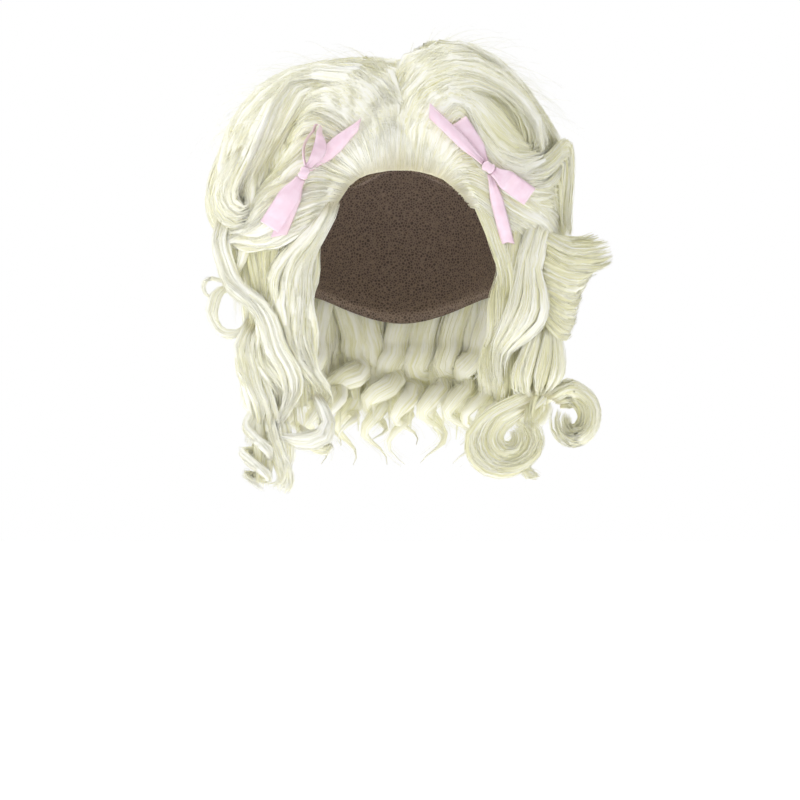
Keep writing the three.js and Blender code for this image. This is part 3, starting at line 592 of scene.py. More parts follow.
class Tress:
    """Tubes of hair that become one piece, with each place's tone, share along the hair and grain."""

    def __init__(self):
        self.places, self.faces, self.tone, self.along, self.grain, self.count = [], [], [], [], [], 0

    def add_tubes(self, centre, side, half_side, half_rise, tone, along, grain, corners):
        """Closed tubes round centre lines. Half sizes and tone may also change round the tube."""
        ahead = unit(np.gradient(centre, axis=1))
        side = unit(side - ahead * np.sum(side * ahead, axis=-1, keepdims=True))
        rise = np.cross(ahead, side)
        angle = 2 * np.pi * np.arange(corners) / corners
        out = side[:, :, None] * (half_side * np.cos(angle))[..., None]
        up = rise[:, :, None] * (half_rise * np.sin(angle))[..., None]
        ring = centre[:, :, None] + out + up
        tubes, stations = centre.shape[:2]
        index = self.count + np.arange(tubes * stations * corners).reshape(tubes, stations, corners)
        turned = np.roll(index, -1, axis=2)
        walls = np.stack([index[:, :-1], turned[:, :-1], turned[:, 1:], index[:, 1:]], axis=-1)
        self.faces += [walls.reshape(-1, 4), index[:, 0, ::-1], index[:, -1]]
        self.places.append(ring.reshape(-1, 3))
        whole = np.zeros(ring.shape[:3])
        self.tone.append((tone + whole).ravel())
        self.along.append((along[..., None] + whole).ravel())
        self.grain.append((grain + whole[..., None]).reshape(-1, 3))
        self.count += whole.size


def lock_frames(path, roll):
    """Sideways and outward ways along a lock, rolled about it."""
    ahead = unit(np.gradient(path, axis=0))
    middle = np.zeros_like(path)
    middle[:, 2] = np.minimum(path[:, 2], -HEAD_RISE)
    side = unit(np.cross(ahead, unit(path - middle)))
    rise = np.cross(side, ahead)
    c, s = np.cos(np.radians(roll)), np.sin(np.radians(roll))
    return side * c + rise * s, rise * c - side * s


def lock_fullness(share, root, tip):
    return (root + (1 - root) * ease(share, 0, 0.25)) * (1 + (tip - 1) * ease(share, 0.5, 1))


def lock_body(tress, path, side, width, thick, root, tip, level, stations):
    """The inside of a lock: a tapered body with ridges that run along it."""
    corners = int(np.clip(round(CORNERS_PER_MM * width), *BODY_CORNERS))
    pick = np.linspace(0, len(path) - 1, stations).round().astype(int)
    share = np.linspace(0, 1, len(path))[pick]
    ends = (BODY_ROOT + (1 - BODY_ROOT) * ease(share, 0, 0.1)) * (1 - BODY_TIP * ease(share, 0.72, 1))
    full = lock_fullness(share, root, tip) * ends
    angle = 2 * np.pi * np.arange(corners) / corners
    ridge = np.zeros((1, stations, corners))
    for beats, deep in BODY_RIDGES:
        start = rng.uniform(0, 2 * np.pi)
        twist = rng.uniform(-BODY_TWIST, BODY_TWIST)
        ridge[0] += deep * np.cos(beats * angle[None, :] + start + twist * share[:, None])
    run = np.linalg.norm(np.diff(path, axis=0), axis=1).sum()
    grain = np.zeros((1, stations, corners, 3))
    grain[..., 0] = np.minimum(angle, 2 * np.pi - angle) * (width + thick) / 4
    grain[..., 1] = (share * run / GRAIN_STRETCH)[None, :, None]
    grain[..., 2] = rng.uniform(0, 100)
    size = BODY_SIZE * (1 + ridge) * full[None, :, None]
    # Painted shade: the body darker than its strands, darker in its grooves and lighter on its ridges.
    tone = np.clip(level[pick][None, :, None] - BODY_SHADE + RIDGE_SHADE * ridge, 0, 1)
    tress.add_tubes(path[pick][None], side[pick][None], size * width / 2, size * thick / 2, tone, share[None],
                    grain, corners)


def comb_lock(tress, path, width, thick, strands, stations, bunches, roll=0.0, root=0.7, tip=0.4,
              stray=0.8, part=1.0, tone=0.5, body_stations=18):
    """One lock: its body, and strands over it gathered in bunches. A few strands stray further."""
    side, rise = lock_frames(path, roll)
    level = tone + np.zeros(len(path))
    lock_body(tress, path, side, width, thick, root, tip, level, body_stations)
    grid = np.linspace(0, 1, len(path))
    first = rng.uniform(0, ROOT_SPREAD, strands)
    last = 1 - TIP_SPREAD * rng.uniform(0, 1, strands) ** 1.5
    own = np.linspace(0, 1, stations)[None, :] + np.zeros((strands, 1))
    s = first[:, None] + (last - first)[:, None] * own

    def read(rows):
        return np.stack([np.interp(s, grid, rows[:, i]) for i in range(3)], axis=-1)

    bunch = rng.integers(bunches, size=strands)
    turn = (2 * np.pi * rng.uniform(0, 1, bunches))[bunch] + rng.normal(0, BUNCH_SPREAD / bunches, strands)
    far = rng.uniform(*STRAND_REACH, strands)[:, None]
    body = lock_fullness(s, root, tip)
    aside = far * np.cos(turn)[:, None] * body * width / 2
    out = far * np.sin(turn)[:, None] * body * thick / 2
    loose = np.where(rng.uniform(size=strands) < LOOSE_SHARE, LOOSE_SWAY, 1.0)

    def sway(amount, count):
        beat = rng.uniform(*SWAY_BEATS, count)[:, None]
        start = rng.uniform(0, 1, count)[:, None]
        return (amount * rng.uniform(*SWAY_SHARE, count))[:, None], beat, start

    for size, count, which in ((stray * loose, strands, slice(None)), (part, bunches, bunch)):
        for axis in (0, 1):
            amount, beat, start = (each[which] for each in sway(size, count))
            swing = amount * ease(s, 0.05, 0.5) * np.sin(2 * np.pi * (beat * s + start))
            if axis == 0:
                aside = aside + swing
            else:
                out = out + 0.5 * swing
    centre = read(path) + read(side) * aside[..., None] + read(rise) * out[..., None]
    half = rng.uniform(*STRAND_HALF, strands)[:, None]
    half = (half * (0.6 + 0.4 * ease(own, 0, 0.1)) * (1 - 0.7 * ease(own, 0.65, 1)))[..., None]
    # Each strand's own random tone, plus painted light: lighter than the body, and more so on the lock's
    # outer side.
    own_tone_and_painted_light = STRAND_LIGHT + STRAND_TONES * rng.standard_normal(strands) + UPPER_LIGHT * np.sin(turn)
    shade = np.clip(np.interp(s, grid, level) + own_tone_and_painted_light[:, None], 0, 1)
    grain = np.zeros((strands, 1, 1, 3))
    grain[:, 0, 0, 0] = rng.uniform(0, 500, strands)
    tress.add_tubes(centre, read(side), half, half, shade[..., None], s, grain, STRAND_CORNERS)


def smooth_rows(guides):
    return np.array([smooth_line(guide, PATH_PLACES) for guide in guides])


def side_by_side(guides, within):
    """Locks laid across guide lines: where each lies, counted in guides, and its own line."""
    rows = smooth_rows(guides)
    at = (np.arange(len(within)) + within) / len(within) * (len(rows) - 1)
    k = np.minimum(at.astype(int), len(rows) - 2)
    f = (at - k)[:, None, None]
    return at, rows[k] * (1 - f) + rows[k + 1] * f


def comb_roll(tress, guides, tone, locks, strands, stations):
    """Locks laid side by side over the crown's front, from the first guide to the last."""
    share = np.linspace(0, 1, PATH_PLACES)
    at, flat = side_by_side(guides, rng.uniform(*WITHIN, locks))
    ahead = unit(np.gradient(flat[..., :2], axis=1))
    shift = ROLL["shift"] * at + rng.normal(0, ROLL["uneven"], locks)
    beat = ROLL["waves"] * share[None, :] + shift[:, None]
    wave = ROLL["wave"] * ease(share, 0.25, 0.7)[None, :] * np.sin(2 * np.pi * beat)
    x = flat[..., 0] - ahead[..., 1] * wave
    z = flat[..., 1] + ahead[..., 0] * wave
    own_lift = rng.normal(ROLL["lift"], ROLL["lift_spread"], locks)[:, None] * ease(share, 0, 0.3)[None, :]
    swell = ease(share, 0.2, 0.6)[None, :] * np.sin(2 * np.pi * beat + ROLL["lag"])
    lift = flat[..., 2] + own_lift + ROLL["swell"] * swell
    # Painted shade: locks in hollows and locks sunk lower are darker.
    deep = np.clip(flat[..., 2], *ROLL["shaded"]) / ROLL["shade"]
    # Wave crests are painted lighter and troughs darker.
    levels = tone + deep + ROLL["lift_shade"] * own_lift + WAVE_SHADE * swell
    for path, level in zip(on_crown(x, z, lift), levels):
        comb_lock(tress, path, rng.uniform(*ROLL["width"]), rng.uniform(*ROLL["thick"]), strands, stations,
                  bunches=6, stray=1.1, part=1.4, tip=0.6, root=0.45, tone=level, body_stations=12)


def comb_under_roll(tress, guides, locks):
    """Broad locks below a roll, so that no gap between its locks goes deep."""
    _, flat = side_by_side(guides, np.full(locks, 0.5))
    for path in on_crown(flat[..., 0], flat[..., 1], flat[..., 2] - UNDER_ROLL["sink"]):
        comb_lock(tress, path[UNDER_ROLL["start"]:], UNDER_ROLL["width"], UNDER_ROLL["thick"], strands=4,
                  stations=10, bunches=4, root=0.4, tip=0.9, tone=0.4, body_stations=12)


def comb_fold(tress, locks, width, thick, tone, wave, guides, strands):
    """Flat locks laid side by side between guide lines, as one soft fold of hair with waves across it."""
    _, lines = side_by_side(guides, rng.uniform(*WITHIN, locks))
    first = rng.uniform(0, 1)
    for path in lines:
        run = run_along(path)
        ahead = unit(np.diff(path, axis=0))
        turning = np.degrees(np.arccos(np.clip(np.sum(ahead[1:] * ahead[:-1], axis=1), -1, 1))).sum()
        stations = int(np.clip(max(run[-1] / STATION_STEP, turning / STATION_TURN), *STATION_RANGE))
        beat = 2 * np.pi * (run / FOLD["wave"] + first + rng.normal(0, FOLD["uneven"]))
        side, rise = lock_frames(path, 0)
        swell = wave * ease(run, FOLD["wave_from"], FOLD["wave_full"])
        scatter = rng.normal(0, FOLD["scatter"] * width, 3)
        path = path + side * (FOLD["sway"] * swell * np.cos(beat))[:, None] + scatter
        path = path + rise * (FOLD["swell"] * swell * np.sin(beat))[:, None]
        # Painted light and shade over the waves, crests lighter and troughs darker, on top of the lock's own
        # random tone.
        level = tone + rng.normal(0, FOLD["tones"]) + WAVE_SHADE * swell * np.sin(beat)
        own_width = width * rng.uniform(*FOLD["widths"])
        own_thick = thick * rng.uniform(*FOLD["thicks"])
        comb_lock(tress, path, own_width, own_thick, strands, stations, bunches=5, root=0.6, tip=0.5,
                  stray=FOLD["stray"] * width, part=FOLD["part"] * width, tone=level, body_stations=stations)


def comb_locks(tress, rows, density, stations):
    """Single locks along their own paths, with strands by their size."""
    for points, width, thick, roll, tip in rows:
        path = smooth_line(points, PATH_PLACES)
        strands = int(density * (width + thick))
        bunches = max(4, round(width / 3))
        comb_lock(tress, path, width, thick, strands, stations, bunches, roll=roll, tip=tip, stray=1.1,
                  part=1.5)


def coiled(path, curl, turns, start, phase):
    """A path whose end, after the share start, winds round its own line."""
    side, rise = lock_frames(path, 0)
    share = np.linspace(0, 1, len(path))[:, None]
    wound = np.clip((share - start) / (1 - start), 0, 1)
    angle = 2 * np.pi * turns * wound + phase
    swing = curl * ease(wound, 0, 0.5) * (1 - 0.5 * ease(wound, 0.7, 1))
    return path + side * swing * np.sin(angle) + rise * swing * np.cos(angle)


def ringlet_line(root, tip, phase):
    root, tip = np.array(root, float), np.array(tip, float)
    share = np.linspace(0, 1, PATH_PLACES)[:, None]
    side = unit(np.cross(tip - root, root * np.array([1, 1, 0])))
    wave = RINGLET["wave"] * np.sin(2 * np.pi * RINGLET["waves"] * share + phase)
    line = root + (tip - root) * share + side * wave
    return coiled(line, RINGLET["curl"], RINGLET["turns"], RINGLET["start"], phase)


def comb_ringlets(tress, rows, strands, stations):
    for root, tip in rows:
        path = ringlet_line(root, tip, rng.uniform(0, 2 * np.pi))
        comb_lock(tress, path, RINGLET["width"], RINGLET["thick"], strands, stations, bunches=6, root=1.0,
                  tip=0.5, stray=0.5, part=1.2, tone=0.45, body_stations=stations)


def comb_parting(tress, locks, strands, stations):
    """Hair combed straight back from the forehead, in the dip between the two rolls."""
    share = np.linspace(0, 1, PATH_PLACES)
    first, last = PARTING["turns"]
    for i in range(locks):
        turn = first + (last - first) * (i + rng.uniform(0, 1)) / locks
        hem = PARTING["hem"] * cap_edge_tilt(np.array(turn))
        tilt = hem * (1 - share) - rng.uniform(*PARTING["over"]) * share
        way = way_of(turn * (1 - PARTING["narrow"] * ease(share, 0, 0.6)), tilt)
        lift = -PARTING["sink"] - PARTING["dip"] * ease(share, 0.1, 0.4) + rng.normal(0, PARTING["uneven"])
        path = from_head(way, crown_radius(way) + lift)
        comb_lock(tress, path, rng.uniform(*PARTING["width"]), rng.uniform(*PARTING["thick"]), strands,
                  stations, bunches=5, root=0.5, tip=0.7)


def comb_wisps(tress, guides, count, stations):
    """Stray hairs that leave a roll along its outline and curl away from it."""
    rows = smooth_rows(guides)
    at = rng.integers(WISP["first"], PATH_PLACES - WISP["last"], count)
    flat = rows[rng.integers(len(rows), size=count), at]
    start = on_crown(flat[:, 0], flat[:, 1], flat[:, 2])
    aside = flat[:, 0] - np.sign(-flat[:, 0]) * WISP["aside"]
    ahead = on_crown(aside, flat[:, 1] - WISP["down"], flat[:, 2]) - start
    out = unit(start + np.array([0, 0, HEAD_RISE]))
    s = np.linspace(0, 1, stations)[None, :, None]
    run = rng.uniform(*WISP["run"], count)[:, None, None]
    rise = rng.uniform(*WISP["rise"], count)[:, None, None]
    curl = rng.uniform(-WISP["curl"], WISP["curl"], (count, 3))[:, None, :]
    line = start[:, None] + unit(ahead)[:, None] * run * s + out[:, None] * rise * np.sin(WISP["arch"] * s)
    line = line + curl * s**2
    half = (rng.uniform(*WISP["half"], count)[:, None] * (1 - WISP["thin"] * s[..., 0]))[..., None]
    grain = rng.uniform(0, 100, (count, 1, 1, 1)) * np.ones((1, 1, 1, 3))
    share = s[..., 0] + np.zeros((count, 1))
    tone = np.full((count, 1, 1), WISP["tone"])
    tress.add_tubes(line, out[:, None] + 0 * line, half, half, tone, share, grain, STRAND_CORNERS)


def comb_back(tress, locks, strands, stations):
    """Locks from the top of the crown, over and down the back and sides, with curled ends."""
    share = np.linspace(0, 1, PATH_PLACES)
    first, last = BACK_LOCK["turns"]
    for i in range(locks):
        turn = first + (last - first) * (i + rng.uniform(0, 1)) / locks
        lean = rng.uniform(*BACK_LOCK["lean"]) * np.sin(np.pi * share)
        lean = lean * np.clip((turn - 180) / BACK_LOCK["lean_turn"], -1, 1)
        sway = rng.uniform(*BACK_LOCK["sway"]) * ease(share, 0.2, 0.7)
        wave = sway * np.sin(2 * np.pi * (BACK_LOCK["waves"] * share + rng.uniform()))
        tilt = rng.uniform(*BACK_LOCK["start"]) + share * rng.uniform(*BACK_LOCK["fall"])
        way = way_of(turn + lean + wave, np.minimum(tilt, BACK_LOCK["lowest"]))
        lift = rng.normal(BACK_LOCK["lift"], BACK_LOCK["lift_spread"])
        lift = lift - BACK_LOCK["side_sink"] * ease(np.abs(turn - 180), 90, 115)
        lift = lift - BACK_LOCK["tip_sink"] * ease(share, 0.8, 1)
        lift = lift - BACK_LOCK["root_sink"] * (1 - ease(share, 0, 0.2))
        path = from_head(way, crown_radius(way) + lift)
        path = coiled(path, rng.uniform(*BACK_LOCK["curl"]), rng.uniform(*BACK_LOCK["curls"]),
                      BACK_LOCK["curl_start"], rng.uniform(0, BACK_LOCK["curl_phase"]))
        comb_lock(tress, path, rng.uniform(*BACK_LOCK["width"]), rng.uniform(*BACK_LOCK["thick"]), strands,
                  stations, bunches=7, stray=1.4, part=2.0, tip=0.55, root=0.6, body_stations=12)


def material_of(name, base, roughness):
    made = bpy.data.materials.new(name)
    made.use_nodes = True
    shader = made.node_tree.nodes["Principled BSDF"]
    shader.inputs["Base Color"].default_value = (*base, 1)
    shader.inputs["Roughness"].default_value = roughness
    return made, made.node_tree, shader


def add_node(tree, kind, **values):
    node = tree.nodes.new(kind)
    for key, value in values.items():
        if key in node.inputs:
            node.inputs[key].default_value = value
        else:
            setattr(node, key, value)
    return node


def ramp_node(tree, stops):
    node = tree.nodes.new("ShaderNodeValToRGB")
    ramp = node.color_ramp
    while len(ramp.elements) < len(stops):
        ramp.elements.new(0.5)
    for element, (place, colour) in zip(ramp.elements, stops):
        element.position = place
        element.color = (*colour, 1)
    return node


def fibre_material():
    """Cream wig fibre: streaks along the hair, each strand in its own tone with painted light and shade
    added, painted shade near the root ends, and bounced light painted yellower.
    """
    made, tree, shader = material_of("cream_fibre", base=(0.92, 0.91, 0.76), roughness=0.42)
    shader.inputs["Specular IOR Level"].default_value = 0.3
    shader.inputs["Diffuse Roughness"].default_value = 1.0
    tone = add_node(tree, "ShaderNodeAttribute", attribute_name="tone")
    along = add_node(tree, "ShaderNodeAttribute", attribute_name="along")
    grain = add_node(tree, "ShaderNodeAttribute", attribute_name="grain")
    streaks = add_node(tree, "ShaderNodeTexNoise", Scale=0.55, Detail=4.0, Roughness=0.65)
    spread = {"From Min": 0.3, "From Max": 0.7, "To Min": -0.4, "To Max": 0.4}
    streak_range = add_node(tree, "ShaderNodeMapRange", **spread)
    level = add_node(tree, "ShaderNodeMath", operation="ADD")
    tones = ramp_node(tree, FIBRE_TONES)
    # Painted shade near the root ends, by share along the hair.
    root_shade = ramp_node(tree, FIBRE_ROOT_SHADE)
    gloss = add_node(tree, "ShaderNodeMapRange", **{"To Min": 0.42, "To Max": 0.58})
    bump = add_node(tree, "ShaderNodeBump", Strength=0.8, Distance=0.0008)
    mixed = add_node(tree, "ShaderNodeMix", data_type="RGBA", blend_type="MULTIPLY")
    mixed.inputs["Factor"].default_value = 1.0
    # Painted shade colour: rays that bounce off the fibre take PASSED_LIGHT, so the shade between locks turns
    # yellow-olive.
    seen = add_node(tree, "ShaderNodeLightPath")
    passed = add_node(tree, "ShaderNodeMix", data_type="RGBA")
    passed.inputs[6].default_value = (*PASSED_LIGHT, 1)
    link = tree.links.new
    link(grain.outputs["Vector"], streaks.inputs["Vector"])
    link(streaks.outputs["Fac"], streak_range.inputs["Value"])
    link(streak_range.outputs["Result"], level.inputs[0])
    link(tone.outputs["Fac"], level.inputs[1])
    link(level.outputs["Value"], tones.inputs["Fac"])
    link(along.outputs["Fac"], root_shade.inputs["Fac"])
    link(tones.outputs["Color"], mixed.inputs[6])
    link(root_shade.outputs["Color"], mixed.inputs[7])
    link(seen.outputs["Is Camera Ray"], passed.inputs["Factor"])
    link(mixed.outputs[2], passed.inputs[7])
    link(passed.outputs[2], shader.inputs["Base Color"])
    link(streaks.outputs["Fac"], gloss.inputs["Value"])
    link(gloss.outputs["Result"], shader.inputs["Roughness"])
    link(streaks.outputs["Fac"], bump.inputs["Height"])
    link(bump.outputs["Normal"], shader.inputs["Normal"])
    return made


def net_material():
    """Brown net of the cap: open cells between its threads."""
    made, tree, shader = material_of("brown_net", base=(0.12, 0.08, 0.06), roughness=0.85)
    coords = add_node(tree, "ShaderNodeTexCoord")
    cells = add_node(tree, "ShaderNodeTexVoronoi", feature="DISTANCE_TO_EDGE", Scale=520.0)
    tones = ramp_node(tree, NET_TONES)
    bump = add_node(tree, "ShaderNodeBump", Strength=0.6, Distance=0.0006)
    bump.invert = True
    link = tree.links.new
    link(coords.outputs["Object"], cells.inputs["Vector"])
    link(cells.outputs["Distance"], tones.inputs["Fac"])
    link(tones.outputs["Color"], shader.inputs["Base Color"])
    link(cells.outputs["Distance"], bump.inputs["Height"])
    link(bump.outputs["Normal"], shader.inputs["Normal"])
    return made


def satin_material():
    """Pink satin ribbon: fine cross threads and a paler sheen."""
    made, tree, shader = material_of("pink_satin", base=(0.86, 0.66, 0.74), roughness=0.36)
    shader.inputs["Sheen Weight"].default_value = 0.35
    shader.inputs["Sheen Roughness"].default_value = 0.4
    uv = add_node(tree, "ShaderNodeUVMap")
    threads = add_node(tree, "ShaderNodeTexWave", wave_type="BANDS", bands_direction="Y", Scale=900.0,
                       Distortion=0.6, Detail=1.0)
    cloudy = add_node(tree, "ShaderNodeTexNoise", Scale=120.0, Detail=2.0)
    tones = ramp_node(tree, SATIN_TONES)
    bump = add_node(tree, "ShaderNodeBump", Strength=0.12, Distance=0.0001)
    link = tree.links.new
    link(uv.outputs["UV"], threads.inputs["Vector"])
    link(uv.outputs["UV"], cloudy.inputs["Vector"])
    link(cloudy.outputs["Fac"], tones.inputs["Fac"])
    link(tones.outputs["Color"], shader.inputs["Base Color"])
    link(threads.outputs["Fac"], bump.inputs["Height"])
    link(bump.outputs["Normal"], shader.inputs["Normal"])
    return made


FIBRE = fibre_material()
NET = net_material()
SATIN = satin_material()


def place_piece(piece, material, nodes):
    """Gives a finished piece its material and ties it to the wig."""
    piece.data.materials.clear()
    piece.data.materials.append(material)
    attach(piece, "root")
    if nodes:
        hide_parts(*nodes)


def write_layers(mesh, tone, along, grain):
    """What the fibre reads at each place: its tone, its share along the hair and its grain."""
    for label, values in (("tone", tone), ("along", along)):
        layer = mesh.attributes.new(label, "FLOAT", "POINT")
        layer.data.foreach_set("value", values.astype(np.float32))
    layer = mesh.attributes.new("grain", "FLOAT_VECTOR", "POINT")
    layer.data.foreach_set("vector", grain.astype(np.float32).ravel())


def hair_piece(name, tress, nodes):
    """Makes a tress into one finished piece of fibre."""
    mesh = bpy.data.meshes.new(name)
    places = np.concatenate(tress.places) * MM
    mesh.vertices.add(len(places))
    mesh.vertices.foreach_set("co", places.ravel())
    loops = np.concatenate([faces.ravel() for faces in tress.faces])
    sizes = np.concatenate([np.full(len(faces), faces.shape[1]) for faces in tress.faces])
    mesh.loops.add(len(loops))
    mesh.loops.foreach_set("vertex_index", loops.astype(np.int32))
    mesh.polygons.add(len(sizes))
    mesh.polygons.foreach_set("loop_start", (np.cumsum(sizes) - sizes).astype(np.int32))
    mesh.polygons.foreach_set("use_smooth", np.ones(len(sizes), bool))
    write_layers(mesh, *(np.concatenate(rows) for rows in (tress.tone, tress.along, tress.grain)))
    mesh.update(calc_edges=True)
    mesh.validate()
    piece = bpy.data.objects.new(name, mesh)
    bpy.context.scene.collection.objects.link(piece)
    place_piece(piece, FIBRE, nodes)


def dome_piece(name, edge_tilt, inner, outer):
    """Open shell over the head, from a ball whose lower half is turned up inside the upper one."""
    bpy.ops.mesh.primitive_uv_sphere_add(segments=DOME_SEGMENTS, ring_count=DOME_RINGS, radius=1)
    piece = bpy.context.object
    piece.name = name
    ball = np.array([v.co for v in piece.data.vertices])
    turn, tilt = turn_and_tilt(ball)
    upper = tilt <= 90.001
    share = np.where(upper, tilt, 180 - tilt) / 90
    way = way_of(turn, share * edge_tilt(turn))
    radius = np.where(upper, outer(way), inner(way))
    places = from_head(way, radius) * MM
    piece.data.vertices.foreach_set("co", places.ravel())
    piece.data.update()
    bpy.ops.object.shade_smooth()
    piece.select_set(False)
    return piece


def cap_outside(way):
    return head_radius(way) + CAP_WALL


def pad_inside(way):
    return head_radius(way) + CAP_WALL + PAD_GAP


def pad_outside(way):
    drawn = PAD_DRAW * ease(-way[..., 2], -0.45, -0.08) * ease(way[..., 1], -0.1, 0.4)
    return np.maximum(crown_radius(way) - PAD_INSET - drawn, pad_inside(way) + PAD_LEAST)


def pad_edge_tilt(turn):
    return cap_edge_tilt(turn, CROWN_HEM) * PAD_HEM


# Net cap, and the padding over it.
cap = dome_piece("net_cap", cap_edge_tilt, head_radius, cap_outside)
place_piece(cap, NET, ["wig_cap"])

pad = dome_piece("crown_padding", pad_edge_tilt, pad_inside, pad_outside)
places = np.array([v.co for v in pad.data.vertices]) / MM
grain = places[:, [0, 2, 1]] / np.array([1, PAD_GRAIN, 1])
# The padding's low tone is painted shade.
write_layers(pad.data, np.full(len(places), PAD_TONE), np.full(len(places), PAD_ALONG), grain)
place_piece(pad, FIBRE, [])

# Rolls over the front of the crown. The right one is set darker in tone: painted shade for the right side,
# which the light reaches less.
for name, tone, guides in (
    ("left_roll_hair", 0.55, LEFT_ROLL),
    ("right_roll_hair", 0.4, RIGHT_ROLL),
):
    tress = Tress()
    comb_under_roll(tress, guides, locks=30)
    comb_roll(tress, guides, tone, locks=84, strands=26, stations=10)
    comb_wisps(tress, guides[:3], count=150, stations=9)
    hair_piece(name, tress, ["crown_hair"])

# Parting, and the hair over the top and down the back of the crown.
tress = Tress()
comb_parting(tress, locks=10, strands=16, stations=12)
comb_back(tress, locks=58, strands=19, stations=13)
hair_piece("crown_back_hair", tress, ["crown_hair"])

# Falls beside the face. The right one is set a little darker in tone: painted shade for the right side, which
# the light reaches less.
for side, painted_side_shade, rows, folds, coils in (
    ("left", 0, LEFT_LOCKS, LEFT_FOLDS, LEFT_RINGLETS),
    ("right", 0.34, RIGHT_LOCKS, RIGHT_FOLDS, RIGHT_RINGLETS),
):
    tress = Tress()
    for locks, width, thick, tone, wave, guides in folds:
        comb_fold(tress, locks, width, thick, tone - painted_side_shade, wave, guides, strands=18)
    hair_piece(f"{side}_side_folds", tress, [f"{side}_side_curls"])
    tress = Tress()
    comb_locks(tress, rows, density=1.7, stations=17)
    comb_ringlets(tress, coils, strands=13, stations=30)
    hair_piece(f"{side}_side_ringlets", tress, [f"{side}_side_curls"])

# Ringlets at the back of the neck, in two rows over flat hair.
coils = []
for turn in np.linspace(BACK_RINGLETS["first"], BACK_RINGLETS["last"], BACK_RINGLETS["count"]):
    way = way_of(turn, 90.0)
    far = way * BACK_RINGLETS["reach"]
    near = way * (BACK_RINGLETS["reach"] - BACK_RINGLETS["draw"])
    under = near * UNDER_RINGLETS["draw"]
    coils.append(((far[0], far[1], BACK_RINGLETS["top"]), (near[0], near[1], BACK_RINGLETS["tip"])))
    coils.append(((near[0], near[1], UNDER_RINGLETS["top"]), (under[0], under[1], UNDER_RINGLETS["tip"])))
guides = []
for turn in np.linspace(*BACK_FILL_TURNS, BACK_FILL_LINES):
    level = way_of(turn, 90.0)
    guides.append([level * reach + np.array([0, 0, z]) for reach, z in BACK_FILL])
tress = Tress()
comb_fold(tress, locks=30, width=24, thick=3.8, tone=0.4, wave=0, guides=guides, strands=8)
comb_ringlets(tress, coils, strands=13, stations=30)
hair_piece("back_locks", tress, ["back_curls"])


def tree_of(piece):
    mesh = piece.data
    mesh.calc_loop_triangles()
    return BVHTree.FromPolygons([v.co for v in mesh.vertices], [t.vertices for t in mesh.loop_triangles])


laid = [tree_of(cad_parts["crown_hair"])]


def front_of(x, z):
    """Depth of the front of the hair, and of the ribbons laid on it so far, in millimetres."""
    hits = [tree.ray_cast(Vector((x * MM, FAR_FRONT * MM, z * MM)), Vector((0, 1, 0)))[0] for tree in laid]
    return min([hit.y / MM for hit in hits if hit] or [OUTLINE_DEPTH])


def neighbours(row):
    """Copies of a row, each moved along it by up to REST_STEPS places."""
    wide = np.pad(row, REST_STEPS, mode="edge")
    return [wide[k:k + len(row)] for k in range(2 * REST_STEPS + 1)]


def resting_depth(knot, heading, far, width):
    """Depth at which a ribbon rests on the hair all along, bridging the hollows."""
    run, climb = np.cos(np.radians(heading)), np.sin(np.radians(heading))
    asides = width * np.linspace(-REST_BREADTH, REST_BREADTH, 7)
    touch = []
    for f in far:
        spots = [(knot[0] + run * f - climb * a, knot[1] + climb * f + run * a) for a in asides]
        touch.append(min(front_of(x, z) for x, z in spots))
    bridged = np.min(neighbours(np.array(touch)), axis=0)
    return np.minimum(bridged, np.mean(neighbours(bridged), axis=0))


def sheet_piece(name, places):
    """A cloth strip from a grid of places, with its width and length laid out in its UV map."""
    rows, columns = places.shape[:2]
    mesh = bpy.data.meshes.new(name)
    index = np.arange(rows * columns).reshape(rows, columns)
    faces = np.stack([index[:-1, :-1], index[:-1, 1:], index[1:, 1:], index[1:, :-1]], axis=-1).reshape(-1, 4)
    mesh.from_pydata((places.reshape(-1, 3) * MM).tolist(), [], faces.tolist())
    across = np.linalg.norm(np.diff(places, axis=1), axis=2).sum(axis=1).max() * MM
    along = np.linalg.norm(np.diff(places, axis=0), axis=2).sum(axis=0).max() * MM
    u, v = np.meshgrid(np.linspace(0, across, columns), np.linspace(0, along, rows))
    uv = np.stack([u, v], axis=-1).reshape(-1, 2)
    layer = mesh.uv_layers.new(name="UVMap")
    for loop in mesh.loops:
        layer.data[loop.index].uv = uv[loop.vertex_index]
    piece = bpy.data.objects.new(name, mesh)
    bpy.context.scene.collection.objects.link(piece)
    bpy.context.view_layer.objects.active = piece
    piece.select_set(True)
    wall = piece.modifiers.new("wall", "SOLIDIFY")
    wall.thickness = RIBBON_WALL * MM
    wall.offset = 0
    bpy.ops.object.modifier_apply(modifier="wall")
    bpy.ops.object.shade_smooth()
    piece.select_set(False)
    return piece, across, along


SHARE = np.linspace(0, 1, RIBBON_STEPS)
ACROSS = np.linspace(-1, 1, RIBBON_ROWS)
GATHER = KNOT_GATHER + (1 - KNOT_GATHER) * ease(SHARE, 0, GATHER_END)
SMOOTHED = (1 - ease(SHARE, 0, PLEAT_END))[:, None]
PLEATS = np.cos(PLEAT_BEATS * np.pi * ACROSS)[None, :] * SMOOTHED * PLEAT_DEPTH
FRONT = np.array([0.0, -1.0, 0.0])


def ribbon_ways(knot, heading):
    """The knot's place in the front view, and the ways along a ribbon and across it."""
    h = np.radians(heading)
    foot = np.array([knot[0], 0, knot[1]], float)
    return foot, np.array([np.cos(h), 0, np.sin(h)]), np.array([-np.sin(h), 0, np.cos(h)])


